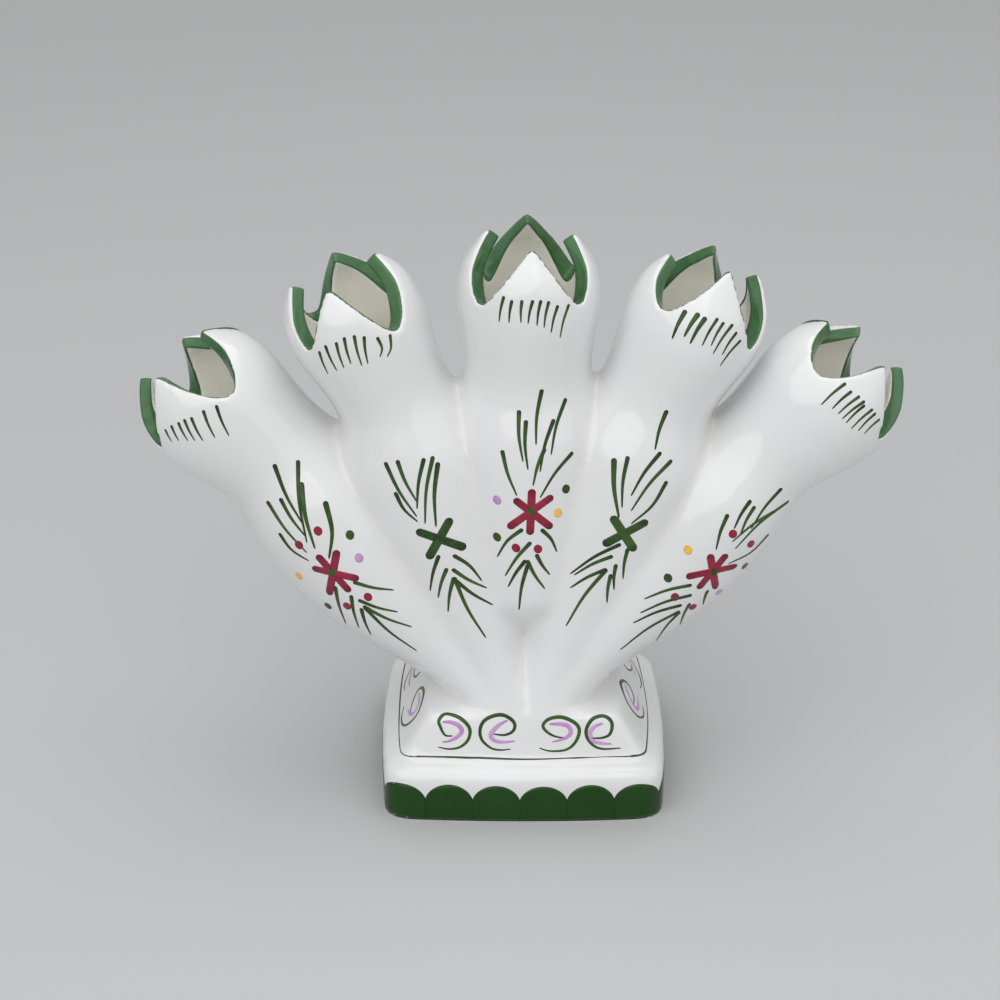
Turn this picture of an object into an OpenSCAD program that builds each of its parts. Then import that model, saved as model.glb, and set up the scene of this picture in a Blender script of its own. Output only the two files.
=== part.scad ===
// Five-finger flower vase (quintal): five tulip-mouthed tubes fanned out of one four-sided plinth.
// Origin at the middle of the foot's underside, +X along the fan, -Y to the decorated front, +Z up.

/* [Fan] */
// Height of the point on the centre line that every finger's axis runs through
pivot_z = 19.5; // [16:0.5:22]
// Lean of the two inner fingers from upright, in degrees
inner_lean = 20.8; // [19:0.2:23]
// Lean of the two outer fingers from upright, in degrees
outer_lean = 41; // [39:0.5:44]
// Distance along a finger's axis from the pivot to its petal tips
reach = 145; // [137:1:155]

/* [Finger] */
// Half width of a finger where it meets the plinth
foot_half_w = 13.5; // [11:0.5:14]
// Half width of the swelling lower part
belly_half_w = 23; // [21:0.5:25]
// Half depth of the swelling lower part
belly_half_d = 22.5; // [21:0.5:24]
// How far the front and back flare out again just above the plinth
foot_flare = 5; // [3:0.5:6]
// Radius at the waist below the head
waist_r = 18; // [17:0.25:18.75]
// Radius of the rounded head
head_r = 19.2; // [19:0.2:21]
// Radius at which the incurved petals end
tip_r = 11.6; // [10:0.2:13]
// Thickness of the finger wall
wall = 3.5; // [2.5:0.25:4.5]
// Distance along the axis at which the foot starts to swell
foot_at = 28; // [26:1:31]
// Distance along the axis at which the belly is full
belly_from = 64; // [58:1:70]
// Distance along the axis at which the belly ends
belly_to = 84; // [80:1:88]
// Distance along the axis of the waist below the head
waist_at = 105; // [101:1:109]
// Distance along the axis of the widest ring of the head
head_at = 126; // [122:1:129]
// Height at which the centre finger's tapering root dies out between its neighbours
root_z = 52; // [49:0.5:55]
// Height at which the centre finger reaches its full share of the fan
share_z = 64; // [61:0.5:67]
// Share of a finger's depth that is left at the tip of the centre finger's root
root_depth = 0.6; // [0.5:0.05:0.8]
// How far below its tip that root starts to deepen
root_lead = 4; // [2:0.5:6]

/* [Petals] */
// Depth of the rounded notches between the four petals
notch_depth = 14.5; // [11:0.5:17]
// Half width of a notch at the petal tips
notch_half = 7.6; // [6:0.2:8]
// Radius of the rounded notch bottom
notch_r = 3; // [2:0.25:4]
// Turn of the outer fingers' front petals towards the ground, in degrees
petal_turn = 15; // [0:1:20]

/* [Plinth] */
// Width of the foot along the fan
foot_w = 82; // [76:1:88]
// Depth of the foot from front to back
foot_d = 70; // [66:1:76]
// Corner radius of the foot in plan
foot_corner = 7; // [6:0.5:10]
// Corner radius of the panels along their lower edge
panel_corner = 4; // [3:0.5:7]
// Height of the upright foot band
band_h = 13; // [11:0.5:15]
// How far the rounded shoulder above the band runs in
shoulder_in = 6.2; // [5:0.2:8]
// Height of the rounded shoulder
shoulder_h = 4; // [3:0.5:5]
// Width of the top that the fingers stand on
top_w = 55.5; // [54:0.5:58]
// Depth of that top
top_d = 52; // [50:0.5:54]
// Corner radius of the top in plan
top_corner = 5; // [3:0.5:8]
// Height of the plinth's top
neck_z = 30; // [27:0.5:33]
// Thickness of the plinth wall
plinth_wall = 4.5; // [3.5:0.25:5.5]
// Side of the square opening in the plinth's top that joins the fingers' hollows
opening_side = 38; // [32:0.5:40]
// Corner radius of that opening
opening_corner = 12; // [8:0.5:14]
// Thickness of the floor slab
floor_t = 4.5; // [3:0.25:6]
// Height of the hollow under the floor slab
foot_recess = 2.5; // [1.5:0.25:4]
// Depth of the rebate that the floor slab is set in
floor_rebate = 1.5; // [1:0.25:2.5]

/* [Painting] */
// Thickness of the painted enamel
enamel_t = 0.3; // [0.2:0.05:0.5]
// Thickness of the green enamel on the cut edges of the petals
rim_t = 0.5; // [0.3:0.05:0.8]
// Height of the bare edge left under the scallops
bare_edge = 0.6; // [0.4:0.1:1]
// Height of the scallop tips above the ground
scallop_top = 12.8; // [11:0.2:14]
// Height of the valleys between scallops
scallop_valley = 8.8; // [7:0.1:10]
// Number of scallops along the front and the back
scallop_count = 6; // [4:1:8]
// Width of the line round the shoulder
line_w = 0.9; // [0.6:0.1:1.4]
// Radius of a painted scroll
scroll_r = 4.6; // [4:0.1:5]
// Width of a scroll's green stroke
scroll_w = 1.2; // [0.8:0.1:1.6]
// Radius of the violet curl inside a scroll
inner_scroll_r = 2.5; // [2:0.1:3]
// Width of the violet stroke
inner_scroll_w = 1; // [0.6:0.1:1.2]
// Distance between the middles of the two scrolls of a pair
scroll_pitch = 12; // [11:0.25:13]
// Distance between the middles of the two pairs on the front panel and the back one
pair_pitch = 28; // [26:0.5:29]
// Distance between the middles of the two scrolls on an end panel
end_pitch = 20; // [16:0.5:24]
// Distance from the petal tips down to the lower ends of the strokes below each mouth
hatch_below = 18.5; // [17:0.5:22]
// Strokes in the row below each mouth
hatch_count = 8; // [5:1:10]
// Length of these strokes
hatch_len = 6.5; // [5:0.5:8]
// Distance between these strokes
hatch_step = 2.5; // [2:0.1:3]
// Distance along the axis of a painted flower's middle
flower_at = 73; // [69:0.5:77]
// Length of a painted flower's petal
petal_len = 6; // [4:0.25:7]
// Width of a petal's rounded end
petal_w = 2.6; // [1.6:0.2:3]
// Width of the strokes of a painted cross
cross_w = 2.6; // [1.6:0.2:3]
// Lean of a cross's strokes from level, in degrees
cross_lean = 40; // [30:1:50]
// Leaves on each side of a sprig, above and below its flower
leaf_count = 3; // [2:1:4]
// Length of a leaf stroke
leaf_len = 11; // [8:0.5:12]
// How far the outer end of a leaf next to the flower lies from the stem
leaf_out = 4.5; // [3:0.25:5]
// How much further out the leaves of each next row reach
leaf_out_step = 1; // [0:0.25:1.25]
// Distance between the rows of leaves above the flower
upper_leaf_step = 8; // [5:0.5:9]
// Distance between the rows of leaves below the flower
lower_leaf_step = 6; // [4:0.5:6.5]
// Width of a leaf stroke at its thick end
leaf_w = 1.3; // [0.8:0.1:1.8]
// Diameter of the painted dots
dot_d = 3; // [2:0.25:4]

/* [Hidden] */

// Flat sides of a finger, and spans along it
sides = 24;
spans = 16;
// Arc points at each plinth corner
corner_steps = 4;
// Arc points of the shoulder
shoulder_steps = 4;
// Flat sides of a notch bottom, a daub, a dot and the two ends of a stroke
notch_sides = 12;
daub_sides = 24;
dot_sides = 8;
thick_sides = 6;
thin_sides = 4;
// Petals of a painted flower, and points along a curl
petal_count = 6;
curl_steps = 9;
// Reach of a cutting shape past what it cuts
past = 5;
// Reach of a front-view cutting shape past the whole vase
beyond = 2 * reach;

// Lean of each finger, left to right
leans = [-outer_lean, -inner_lean, 0, inner_lean, outer_lean];
// Lean of the seams between neighbouring fingers
inner_seam = inner_lean / 2;
outer_seam = (inner_lean + outer_lean) / 2;
// Lowest ring of a finger, well inside the plinth
start_at = 6;
// Distance along the axis at which the flare of the front and back has run out
flare_to = foot_at + start_at;
// Distance along the axis of the lower ends of the strokes below each mouth
hatch_at = reach - hatch_below;

// Places of the dots round a flower, in petal lengths from its middle
red_places = [[-0.4, -1.75], [0.6, -1.75]];
green_places = [[1.4, 1.2], [-1.4, -1.2]];
violet_places = [[-1.5, 0.6]];
yellow_places = [[1.2, -0.2]];

// Turn of a curl from its inner end to its tail, in degrees
green_turn = [254, -110];
violet_turn = [150, -120];
// How quickly a curl opens to its full radius, and how late its tail swings out
curl_opening = 2.5;
curl_lateness = 4;
// Share of a curl's width that is left at its ends
curl_thin = 0.3;
// Turns that carry the front's painting to the plinth's other sides, in degrees
front_and_back = [0, 180];
ends = [90, 270];
// Share by which the tail swings out past the full radius
tail_out = 1.2;
// Height of a scroll as a share of its width
scroll_squash = 0.9;

// Half width and half depth of a rectangle that lies inside another by the given amount
function inset(half, by) = [half.x - by, half.y - by];
half_foot = [foot_w, foot_d] / 2;
half_shoulder = inset(half_foot, shoulder_in);
half_top = [top_w, top_d] / 2;
half_opening = [opening_side, opening_side] / 2;
half_chamber = inset(half_foot, plinth_wall);
chamber_corner = foot_corner - plinth_wall;
half_rebate = inset(half_chamber, -floor_rebate);
rebate_corner = chamber_corner + floor_rebate;
shoulder_z = band_h + shoulder_h;
floor_top = foot_recess + floor_t;

function clamp(u) = min(max(u, 0), 1);
function ease(a, b, u) = a + (b - a) * (1 - cos(180 * clamp(u))) / 2;
function swell(a, b, u) = a + (b - a) * sin(90 * clamp(u));
function part_way(t, from, to) = (t - from) / (to - from);

// Half size of a finger from the belly up, whose lower part measures low
function upper_half(t, low) =
    t < waist_at ? ease(low, waist_r, part_way(t, belly_to, waist_at))
    : t < head_at ? ease(waist_r, head_r, part_way(t, waist_at, head_at))
    : tip_r + (head_r - tip_r) * cos(90 * clamp(part_way(t, head_at, reach)));

// Half width of a finger at distance t along its axis
function half_w(t) =
    t < belly_to ? swell(foot_half_w, belly_half_w, part_way(t, foot_at, belly_from))
    : upper_half(t, belly_half_w);

// Half depth of a finger at distance t along its axis
function half_d(t) =
    t < belly_to ? belly_half_d + foot_flare * pow(1 - clamp(part_way(t, start_at, flare_to)), 2)
    : upper_half(t, belly_half_d);

// Share of the depth left in the centre finger's tapering root
function root_share(t) =
    ease(root_depth, 1, part_way(t, root_z - root_lead - pivot_z, share_z - pivot_z));

function oval(t, w, d) = [for (i = [0:sides - 1]) [w * cos(360 * i / sides), d * sin(360 * i / sides), t]];

function finger_ring(t, grow, tapered) =
    oval(t, half_w(t) + grow, half_d(t) * (tapered ? root_share(t) : 1) + grow);

// Ring of a rectangle with round corners: its half width and half depth, a corner radius and a height
function panel_ring(half, corner, z) = [
    for (q = [0:3], i = [0:corner_steps])
        let (a = 90 * q + 90 * i / corner_steps)
        let (sx = (q == 0 || q == 3) ? 1 : -1)
        let (sy = q < 2 ? 1 : -1)
        [sx * (half.x - corner) + corner * cos(a), sy * (half.y - corner) + corner * sin(a), z]
];

// Solid between two rings of as many points
module span_between(low, high) {
    n = len(low);
    skin = [for (i = [0:n - 1]) [i, (i + 1) % n, n + (i + 1) % n, n + i]];
    floor_face = [[for (i = [n - 1:-1:0]) i]];
    top_face = [[for (i = [0:n - 1]) n + i]];
    hull() polyhedron(concat(low, high), concat(floor_face, top_face, skin));
}

// Upright prism of a rectangle with round corners
module panel_prism(half, corner, from, to) {
    outline = [for (p = panel_ring(half, corner, 0)) [p.x, p.y]];
    translate([0, 0, from]) linear_extrude(to - from) polygon(outline);
}

module loft(rings) {
    for (i = [0:len(rings) - 2]) span_between(rings[i], rings[i + 1]);
}

// Finger before it is hollowed or cut, along its own upright axis
module finger_blank(grow, tapered) {
    step = (reach - start_at) / spans;
    loft([for (i = [0:spans]) finger_ring(start_at + i * step, grow, tapered)]);
}

// Hollow of a finger, open at both ends
module finger_hollow(tapered) {
    step = (reach - start_at) / spans;
    rings = [for (i = [0:spans]) finger_ring(start_at + i * step, -wall, tapered)];
    mouth = [for (p = rings[spans]) p + [0, 0, past]];
    loft(concat(rings, [mouth]));
}

// Rounded notch between two petals, seen from outside the finger
module notch_outline(trim) {
    bottom = reach - notch_depth;
    hull() {
        translate([0, bottom + notch_r]) circle(notch_r - trim, $fn = notch_sides);
        translate([trim - notch_half, reach]) square([2 * (notch_half - trim), past]);
    }
}

// Turn of a finger's petals round its axis
function petal_roll(lean) = abs(lean) == outer_lean ? sign(lean) * petal_turn : 0;

// The four notches of a finger, trimmed narrower by the given amount
module notches(lean, trim) {
    for (turn = [45:90:315])
        rotate([0, 0, turn + petal_roll(lean)]) rotate([90, 0, 0])
            linear_extrude(head_r + past) notch_outline(trim);
}

// Sets a piece on the finger's leaning axis
module on_axis(lean) {
    translate([0, 0, pivot_z]) rotate([0, lean, 0]) children();
}

// Point on a seam of the given lean at height z
function on_seam(lean, z) = [(z - pivot_z) * tan(lean), z];

// The share of the fan that belongs to each finger, as an upright slab through front and back
module share(lean) {
    upright = abs(lean);
    side = lean < 0 ? -1 : 1;
    rotate([90, 0, 0]) translate([0, 0, -beyond / 2]) linear_extrude(beyond) scale([side, 1]) polygon(
        upright == 0
            ? [[0, root_z], on_seam(inner_seam, share_z), on_seam(inner_seam, beyond),
               on_seam(-inner_seam, beyond), on_seam(-inner_seam, share_z)]
            : upright == inner_lean
            ? [[0, neck_z], [0, root_z], on_seam(inner_seam, share_z), on_seam(inner_seam, beyond),
               on_seam(outer_seam, beyond), on_seam(outer_seam, neck_z)]
            : [on_seam(outer_seam, neck_z), on_seam(outer_seam, beyond), [beyond, beyond], [beyond, neck_z]]
    );
}

// One hollow finger with its four petals, trimmed to its share of the fan
module finger(lean) {
    color("white") intersection() {
        on_axis(lean) difference() {
            finger_blank(0, lean == 0);
            finger_hollow(lean == 0);
            notches(lean, 0);
        }
        share(lean);
    }
}

// Green enamel on the cut edges between the petals of one finger
module rim_enamel(lean) {
    color("seagreen") on_axis(lean) intersection() {
        difference() {
            finger_blank(0, false);
            finger_hollow(false);
        }
        difference() {
            notches(lean, 0);
            notches(lean, rim_t);
        }
    }
}

// Painted layer on the front of one finger, where the flat strokes given to it lie
module painted(lean) {
    intersection() {
        on_axis(lean) intersection() {
            difference() {
                finger_blank(enamel_t, lean == 0);
                finger_blank(0, lean == 0);
                notches(lean, 0);
            }
            rotate([90, 0, 0]) linear_extrude(beyond) children();
        }
        share(lean);
    }
}

// Brush stroke that tapers from a thick end to a thin one
module stroke(from, to, thick, thin) {
    hull() {
        translate(from) circle(d = thick, $fn = thick_sides);
        translate(to) circle(d = thin, $fn = thin_sides);
    }
}

// Row of upright strokes below the mouth
module hatch(lean) {
    color("darkgreen") painted(lean)
        for (i = [0:hatch_count - 1])
            let (x = (i - (hatch_count - 1) / 2) * hatch_step)
            stroke([x, hatch_at], [x, hatch_at + hatch_len], leaf_w / 2, leaf_w);
}

// Leaves in pairs along a stem, above the flower and below it
module sprig(lean) {
    color("darkgreen") painted(lean)
        for (row = [0:leaf_count - 1], side = [-1, 1]) {
            out = leaf_out + leaf_out_step * row;
            high = flower_at + petal_len + upper_leaf_step * row;
            stroke([side * leaf_w, high], [side * out, high + leaf_len], leaf_w / 2, leaf_w);
            low = flower_at - petal_len - lower_leaf_step * row;
            stroke([side * leaf_w, low], [side * out, low - leaf_len], leaf_w, leaf_w / 2);
        }
}

// Six-petalled flower
module flower(lean) {
    color("crimson") painted(lean)
        translate([0, flower_at])
            for (i = [0:petal_count - 1])
                rotate((i + 1 / 2) * 360 / petal_count)
                    stroke([0, 0], [petal_len - petal_w / 2, 0], petal_w / 2, petal_w);
}

// Cross of two strokes
module cross(lean) {
    color("darkgreen") painted(lean)
        translate([0, flower_at])
            for (turn = [cross_lean, -cross_lean], half = [0, 180])
                rotate(turn + half) stroke([0, 0], [petal_len, 0], cross_w, cross_w / 2);
}

// Loose dots round the three flowers, at places counted in petal lengths from the flower's middle
module dots(hue, places) {
    color(hue)
        for (lean = [-outer_lean, 0, outer_lean]) painted(lean)
            for (place = places)
                translate([0, flower_at] + petal_len * place) circle(d = dot_d, $fn = dot_sides);
}

// Plinth before it is hollowed: foot band, rounded shoulder and leaning panels
module plinth_blank(grow) {
    shoulder = [
        for (i = [0:shoulder_steps])
            let (a = 90 * i / shoulder_steps)
            panel_ring(
                inset(half_shoulder, -shoulder_in * cos(a) - grow),
                foot_corner + (panel_corner - foot_corner) * sin(a) + grow,
                band_h + shoulder_h * sin(a)
            )
    ];
    panel_prism(inset(half_foot, -grow), foot_corner + grow, 0, band_h);
    loft(concat(shoulder, [panel_ring(inset(half_top, -grow), top_corner + grow, neck_z)]));
}

// Water chamber in the plinth, open to the fingers above and with the floor's rebate below
module plinth_hollow() {
    chamber_top = band_h - shoulder_h / 2;
    panel_prism(half_rebate, rebate_corner, -past, floor_top);
    panel_prism(half_chamber, chamber_corner, foot_recess, chamber_top);
    loft([
        panel_ring(half_chamber, chamber_corner, chamber_top),
        panel_ring(inset(half_shoulder, plinth_wall), chamber_corner, shoulder_z),
        panel_ring(half_opening, opening_corner, neck_z - plinth_wall)
    ]);
    panel_prism(half_opening, opening_corner, neck_z - plinth_wall, neck_z + past);
}

module plinth() {
    color("white") difference() {
        plinth_blank(0);
        plinth_hollow();
    }
}

// Slab set in the rebate under the chamber, clear of the ground
module plinth_floor() {
    color("ivory") panel_prism(half_rebate, rebate_corner, foot_recess, floor_top);
}

// Painted layer on the plinth where the solid given to it lies
module painted_plinth() {
    intersection() {
        difference() {
            plinth_blank(enamel_t);
            plinth_blank(0);
        }
        children();
    }
}

// Flat strokes seen from the front, carried through to the sides at the given turns
module on_sides(turns) {
    for (turn = turns)
        rotate([0, 0, turn]) rotate([90, 0, 0]) linear_extrude(beyond) children();
}

// Outline of the overlapping daubs along one side of the foot
module scallop_row(side) {
    count = round(scallop_count * side / foot_w);
    pitch = side / count;
    rise = scallop_top - scallop_valley;
    daub_r = (pow(pitch / 2, 2) + rise * rise) / (2 * rise);
    intersection() {
        union() {
            translate([-side, 0]) square([2 * side, scallop_valley]);
            for (i = [0:count - 1])
                translate([(i - (count - 1) / 2) * pitch, scallop_top - daub_r])
                    circle(daub_r, $fn = daub_sides);
        }
        translate([-side, bare_edge]) square([2 * side, scallop_top]);
    }
}

// Scalloped daubs round the foot
module foot_scallops() {
    color("darkgreen") painted_plinth() union() {
        on_sides(front_and_back) scallop_row(foot_w);
        on_sides(ends) scallop_row(foot_d);
    }
}

// Thin line round the top of the shoulder
module shoulder_line() {
    color("darkgreen") painted_plinth()
        translate([-beyond / 2, -beyond / 2, shoulder_z]) cube([beyond, beyond, line_w]);
}

// Comma-shaped curl of a brush, from its inner end to its tail
module curl(r, start_r, turn, thick) {
    at = [for (i = [0:curl_steps]) i / curl_steps];
    angle = [for (u = at) turn[0] + (turn[1] - turn[0]) * u];
    swing = r * (tail_out - 1);
    mid = [for (u = at) swell(start_r, r, curl_opening * u) + swing * pow(u, curl_lateness)];
    half = [for (u = at) thick / 2 * (curl_thin + (1 - curl_thin) * sin(180 * u))];
    outside = [for (i = [0:curl_steps]) (mid[i] + half[i]) * [cos(angle[i]), sin(angle[i])]];
    inside = [for (i = [curl_steps:-1:0]) (mid[i] - half[i]) * [cos(angle[i]), sin(angle[i])]];
    polygon(concat(outside, inside));
}

// Pairs of scrolls along a panel, facing each other, round the given middles
module scroll_row(middles, pitch) {
    middle_z = (shoulder_z + neck_z + line_w) / 2;
    for (middle = middles, side = [-1, 1])
        translate([middle + side * pitch / 2, middle_z])
            scale([-side, scroll_squash]) children();
}

// One curl in every scroll of the four panels
module in_every_scroll() {
    on_sides(front_and_back) scroll_row([-pair_pitch / 2, pair_pitch / 2], scroll_pitch) children();
    on_sides(ends) scroll_row([0], end_pitch) children();
}

module scrolls_green() {
    color("darkgreen") painted_plinth() in_every_scroll()
        curl(scroll_r, scroll_r / 2, green_turn, scroll_w);
}

module scrolls_violet() {
    color("orchid") painted_plinth() in_every_scroll()
        curl(inner_scroll_r, inner_scroll_r, violet_turn, inner_scroll_w);
}

plinth();
plinth_floor();
finger(leans[0]);  // finger_outer_left
finger(leans[1]);  // finger_inner_left
finger(leans[2]);  // finger_centre
finger(leans[3]);  // finger_inner_right
finger(leans[4]);  // finger_outer_right
rim_enamel(leans[0]);  // rim_enamel_outer_left
rim_enamel(leans[1]);  // rim_enamel_inner_left
rim_enamel(leans[2]);  // rim_enamel_centre
rim_enamel(leans[3]);  // rim_enamel_inner_right
rim_enamel(leans[4]);  // rim_enamel_outer_right
hatch(leans[0]);  // hatch_outer_left
hatch(leans[1]);  // hatch_inner_left
hatch(leans[2]);  // hatch_centre
hatch(leans[3]);  // hatch_inner_right
hatch(leans[4]);  // hatch_outer_right
sprig(leans[0]);  // sprig_outer_left
sprig(leans[1]);  // sprig_inner_left
sprig(leans[2]);  // sprig_centre
sprig(leans[3]);  // sprig_inner_right
sprig(leans[4]);  // sprig_outer_right
flower(leans[0]);  // flower_outer_left
cross(leans[1]);  // cross_inner_left
flower(leans[2]);  // flower_centre
cross(leans[3]);  // cross_inner_right
flower(leans[4]);  // flower_outer_right
dots("crimson", red_places);  // dots_red
dots("darkgreen", green_places);  // dots_green
dots("orchid", violet_places);  // dots_violet
dots("gold", yellow_places);  // dots_yellow
foot_scallops();
shoulder_line();
scrolls_green();
scrolls_violet();
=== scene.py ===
"""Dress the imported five-finger vase in its glazed clay skin and its painted enamel.

Lengths are in metres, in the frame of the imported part: +X runs along the fan of fingers, -Y faces the
painted front and +Z is up. The origin is the middle of the foot's underside.
"""

import logging
import math
from dataclasses import dataclass
from enum import Enum
from typing import Callable, Sequence

import bmesh
import bpy
from mathutils import Matrix, Vector
from mathutils.bvhtree import BVHTree
from mathutils.kdtree import KDTree


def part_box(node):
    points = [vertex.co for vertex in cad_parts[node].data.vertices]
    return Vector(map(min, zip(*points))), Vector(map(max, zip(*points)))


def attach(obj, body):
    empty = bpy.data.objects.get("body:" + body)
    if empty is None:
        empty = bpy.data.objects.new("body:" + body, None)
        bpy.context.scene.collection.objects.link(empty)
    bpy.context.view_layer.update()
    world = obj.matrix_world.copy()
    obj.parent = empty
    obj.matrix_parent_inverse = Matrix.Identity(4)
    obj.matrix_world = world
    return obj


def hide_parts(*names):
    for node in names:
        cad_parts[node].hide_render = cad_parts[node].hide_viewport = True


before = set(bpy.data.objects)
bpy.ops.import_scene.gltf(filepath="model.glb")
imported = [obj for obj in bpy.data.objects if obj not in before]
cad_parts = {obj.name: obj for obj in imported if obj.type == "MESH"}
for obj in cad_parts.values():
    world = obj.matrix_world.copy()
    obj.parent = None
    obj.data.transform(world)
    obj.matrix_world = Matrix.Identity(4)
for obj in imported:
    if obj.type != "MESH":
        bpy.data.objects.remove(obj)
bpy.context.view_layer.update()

LOG = logging.getLogger("vase")
MM = 0.001
BODY = "root"

Pixel = tuple[float, float]
Colour = tuple[float, float, float]
SkinPoint = tuple[Vector, Vector]
BMesh = bmesh.types.BMesh
BMVert = bmesh.types.BMVert
BMEdge = bmesh.types.BMEdge
Object = bpy.types.Object
Socket = bpy.types.NodeSocket


def ease(low: float, high: float, share: float) -> float:
    """Go smoothly from low to high as share goes from 0 to 1."""
    share = min(max(share, 0.0), 1.0)
    return low + (high - low) * share * share * (3.0 - 2.0 * share)


def ease_off(share: float, soft: float) -> float:
    """Go from 0 to 1 along a straight line whose start is rounded off."""
    return (math.hypot(share, soft) - soft) / (math.hypot(1.0, soft) - soft)


def scatter(index: int) -> float:
    """Give an even but irregular-looking number from 0 to 1 for a whole number."""
    golden_share = 0.6180339887
    return (index * golden_share) % 1.0


@dataclass(frozen=True)
class Profile:
    """Smooth curve through a few points, each a distance and the half size there, in millimetres."""

    points: tuple[tuple[float, float], ...]

    def slope(self, index: int) -> float:
        """Slope of the curve at one of its points.

        Args:
            index: Number of the point.

        Returns:
            The slope from the point before it to the point after it.
        """
        before = self.points[max(index - 1, 0)]
        after = self.points[min(index + 1, len(self.points) - 1)]
        return (after[1] - before[1]) / (after[0] - before[0])

    def at(self, distance: float) -> float:
        """Half size at a distance, both in metres.

        Args:
            distance: Distance along the axis.

        Returns:
            The half size there, level past either end.
        """
        where = distance / MM
        if where <= self.points[0][0]:
            return self.points[0][1] * MM
        for index, (start, end) in enumerate(zip(self.points, self.points[1:])):
            if where <= end[0]:
                span = end[0] - start[0]
                u = (where - start[0]) / span
                rise = start[1] * (1 + 2 * u) * (1 - u) ** 2 + end[1] * u * u * (3 - 2 * u)
                bend = self.slope(index) * u * (1 - u) ** 2 - self.slope(index + 1) * u * u * (1 - u)
                return (rise + bend * span) * MM
        return self.points[-1][1] * MM


def boundary(verts: Sequence[BMVert]) -> list[BMEdge]:
    """List the edges that join the given vertices."""
    return list({edge for vert in verts for edge in vert.link_edges})


def drawn_out(bm: BMesh, ring: list[BMEdge]) -> tuple[list[BMVert], list[BMEdge]]:
    """Draw a ring of edges out, to be moved away from where it stands.

    Args:
        bm: Mesh that holds the ring.
        ring: Edges of the ring.

    Returns:
        The vertices and the edges of the new ring.
    """
    grown = bmesh.ops.extrude_edge_only(bm, edges=ring)["geom"]
    verts = [part for part in grown if isinstance(part, BMVert)]
    return verts, [edge for edge in boundary(verts) if all(end in verts for end in edge.verts)]


def loft(bm: BMesh, ring: list[BMEdge], places: Sequence[Matrix]) -> None:
    """Draw a ring of unit size out along a row of places and close both ends.

    Args:
        bm: Mesh that holds the ring.
        ring: Edges of the ring, standing at the first place.
        places: Matrix of each ring in turn.
    """
    bmesh.ops.edgeloop_fill(bm, edges=ring)
    for before, after in zip(places, places[1:]):
        verts, ring = drawn_out(bm, ring)
        bmesh.ops.transform(bm, matrix=after @ before.inverted(), verts=verts)
    bmesh.ops.edgeloop_fill(bm, edges=ring)


def round_ring(bm: BMesh, place: Matrix, segments: int = 96) -> list[BMEdge]:
    """Start a round ring of unit radius at a place."""
    made = bmesh.ops.create_circle(bm, cap_ends=False, radius=1.0, segments=segments, matrix=place)
    return boundary(made["verts"])


def bowed(point: Vector, half: Vector) -> Vector:
    """Pull a point of a rectangle's outline in towards the corners, which leaves the sides bowed.

    Args:
        point: Point of the outline, seen from above.
        half: Half sides of the rectangle.

    Returns:
        The point of the bowed outline.
    """
    pull = 0.045
    across = 1 - pull * (point.y / half.y) ** 2
    return Vector((point.x * across, point.y * (1 - pull * (point.x / half.x) ** 2)))


def square_ring(bm: BMesh, place: Matrix, corner: float) -> list[BMEdge]:
    """Start a square ring of unit half side with round corners and bowed sides.

    Args:
        bm: Mesh to start it in.
        place: Matrix of the ring.
        corner: Corner radius as a share of the half side.

    Returns:
        The ring's edges.
    """
    corner_steps = 10
    side_cuts = 11
    shortest_side = 0.5
    made = bmesh.ops.create_grid(bm, x_segments=1, y_segments=1, size=1.0)["verts"]
    rounded = bmesh.ops.bevel(
        bm, geom=made, offset=corner, affect="VERTICES", segments=corner_steps, profile=0.5, material=-1
    )["verts"]
    face = rounded[0].link_faces[0]
    sides = [edge for edge in face.edges if edge.calc_length() > shortest_side]
    bmesh.ops.subdivide_edges(bm, edges=sides, cuts=side_cuts)
    verts = list(face.verts)
    for vert in verts:
        vert.co.xy = bowed(vert.co.xy, Vector((1.0, 1.0)))
    bmesh.ops.delete(bm, geom=[face], context="FACES_ONLY")
    bmesh.ops.transform(bm, matrix=place, verts=verts)
    return boundary(verts)


def to_object(name: str, bm: BMesh) -> Object:
    """Turn a bmesh into an object at the origin, with its faces pointing outwards.

    Args:
        name: Name of the object.
        bm: Mesh to use up.

    Returns:
        The object, which stands in the scene.
    """
    bmesh.ops.recalc_face_normals(bm, faces=bm.faces)
    mesh = bpy.data.meshes.new(name)
    bm.to_mesh(mesh)
    bm.free()
    return shown(name, mesh)


def shown(name: str, mesh: bpy.types.Mesh) -> Object:
    """Make an object of a mesh and stand it in the scene.

    Args:
        name: Name of the object.
        mesh: Its mesh.

    Returns:
        The object.
    """
    made = bpy.data.objects.new(name, mesh)
    bpy.context.scene.collection.objects.link(made)
    return made


def settle(target: Object) -> None:
    """Apply an object's modifiers to its mesh.

    Args:
        target: Object whose modifiers are used up.
    """
    graph = bpy.context.evaluated_depsgraph_get()
    mesh = bpy.data.meshes.new_from_object(target.evaluated_get(graph))
    old = target.data
    target.modifiers.clear()
    target.data = mesh
    bpy.data.meshes.remove(old)


def unite(target: Object, voxel: float) -> None:
    """Melt overlapping solids into one skin of even faces.

    Args:
        target: Object that holds the solids.
        voxel: Side of the faces.
    """
    modifier = target.modifiers.new("unite", "REMESH")
    modifier.mode = "VOXEL"
    modifier.voxel_size = voxel
    settle(target)


def relax(target: Object, repeats: int, softness: Callable[[Vector], float] | None = None) -> None:
    """Soften a skin, as glaze does, by smoothing it a number of times.

    Args:
        target: Object to soften.
        repeats: How many times it is smoothed.
        softness: Gives the share of the smoothing at a place, which is all of it by default.
    """
    modifier = target.modifiers.new("relax", "SMOOTH")
    modifier.factor = 0.5
    modifier.iterations = repeats
    if softness is not None:
        group = target.vertex_groups.new(name="softness")
        for vert in target.data.vertices:
            group.add([vert.index], softness(vert.co), "REPLACE")
        modifier.vertex_group = group.name
    settle(target)
    target.vertex_groups.clear()


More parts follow.
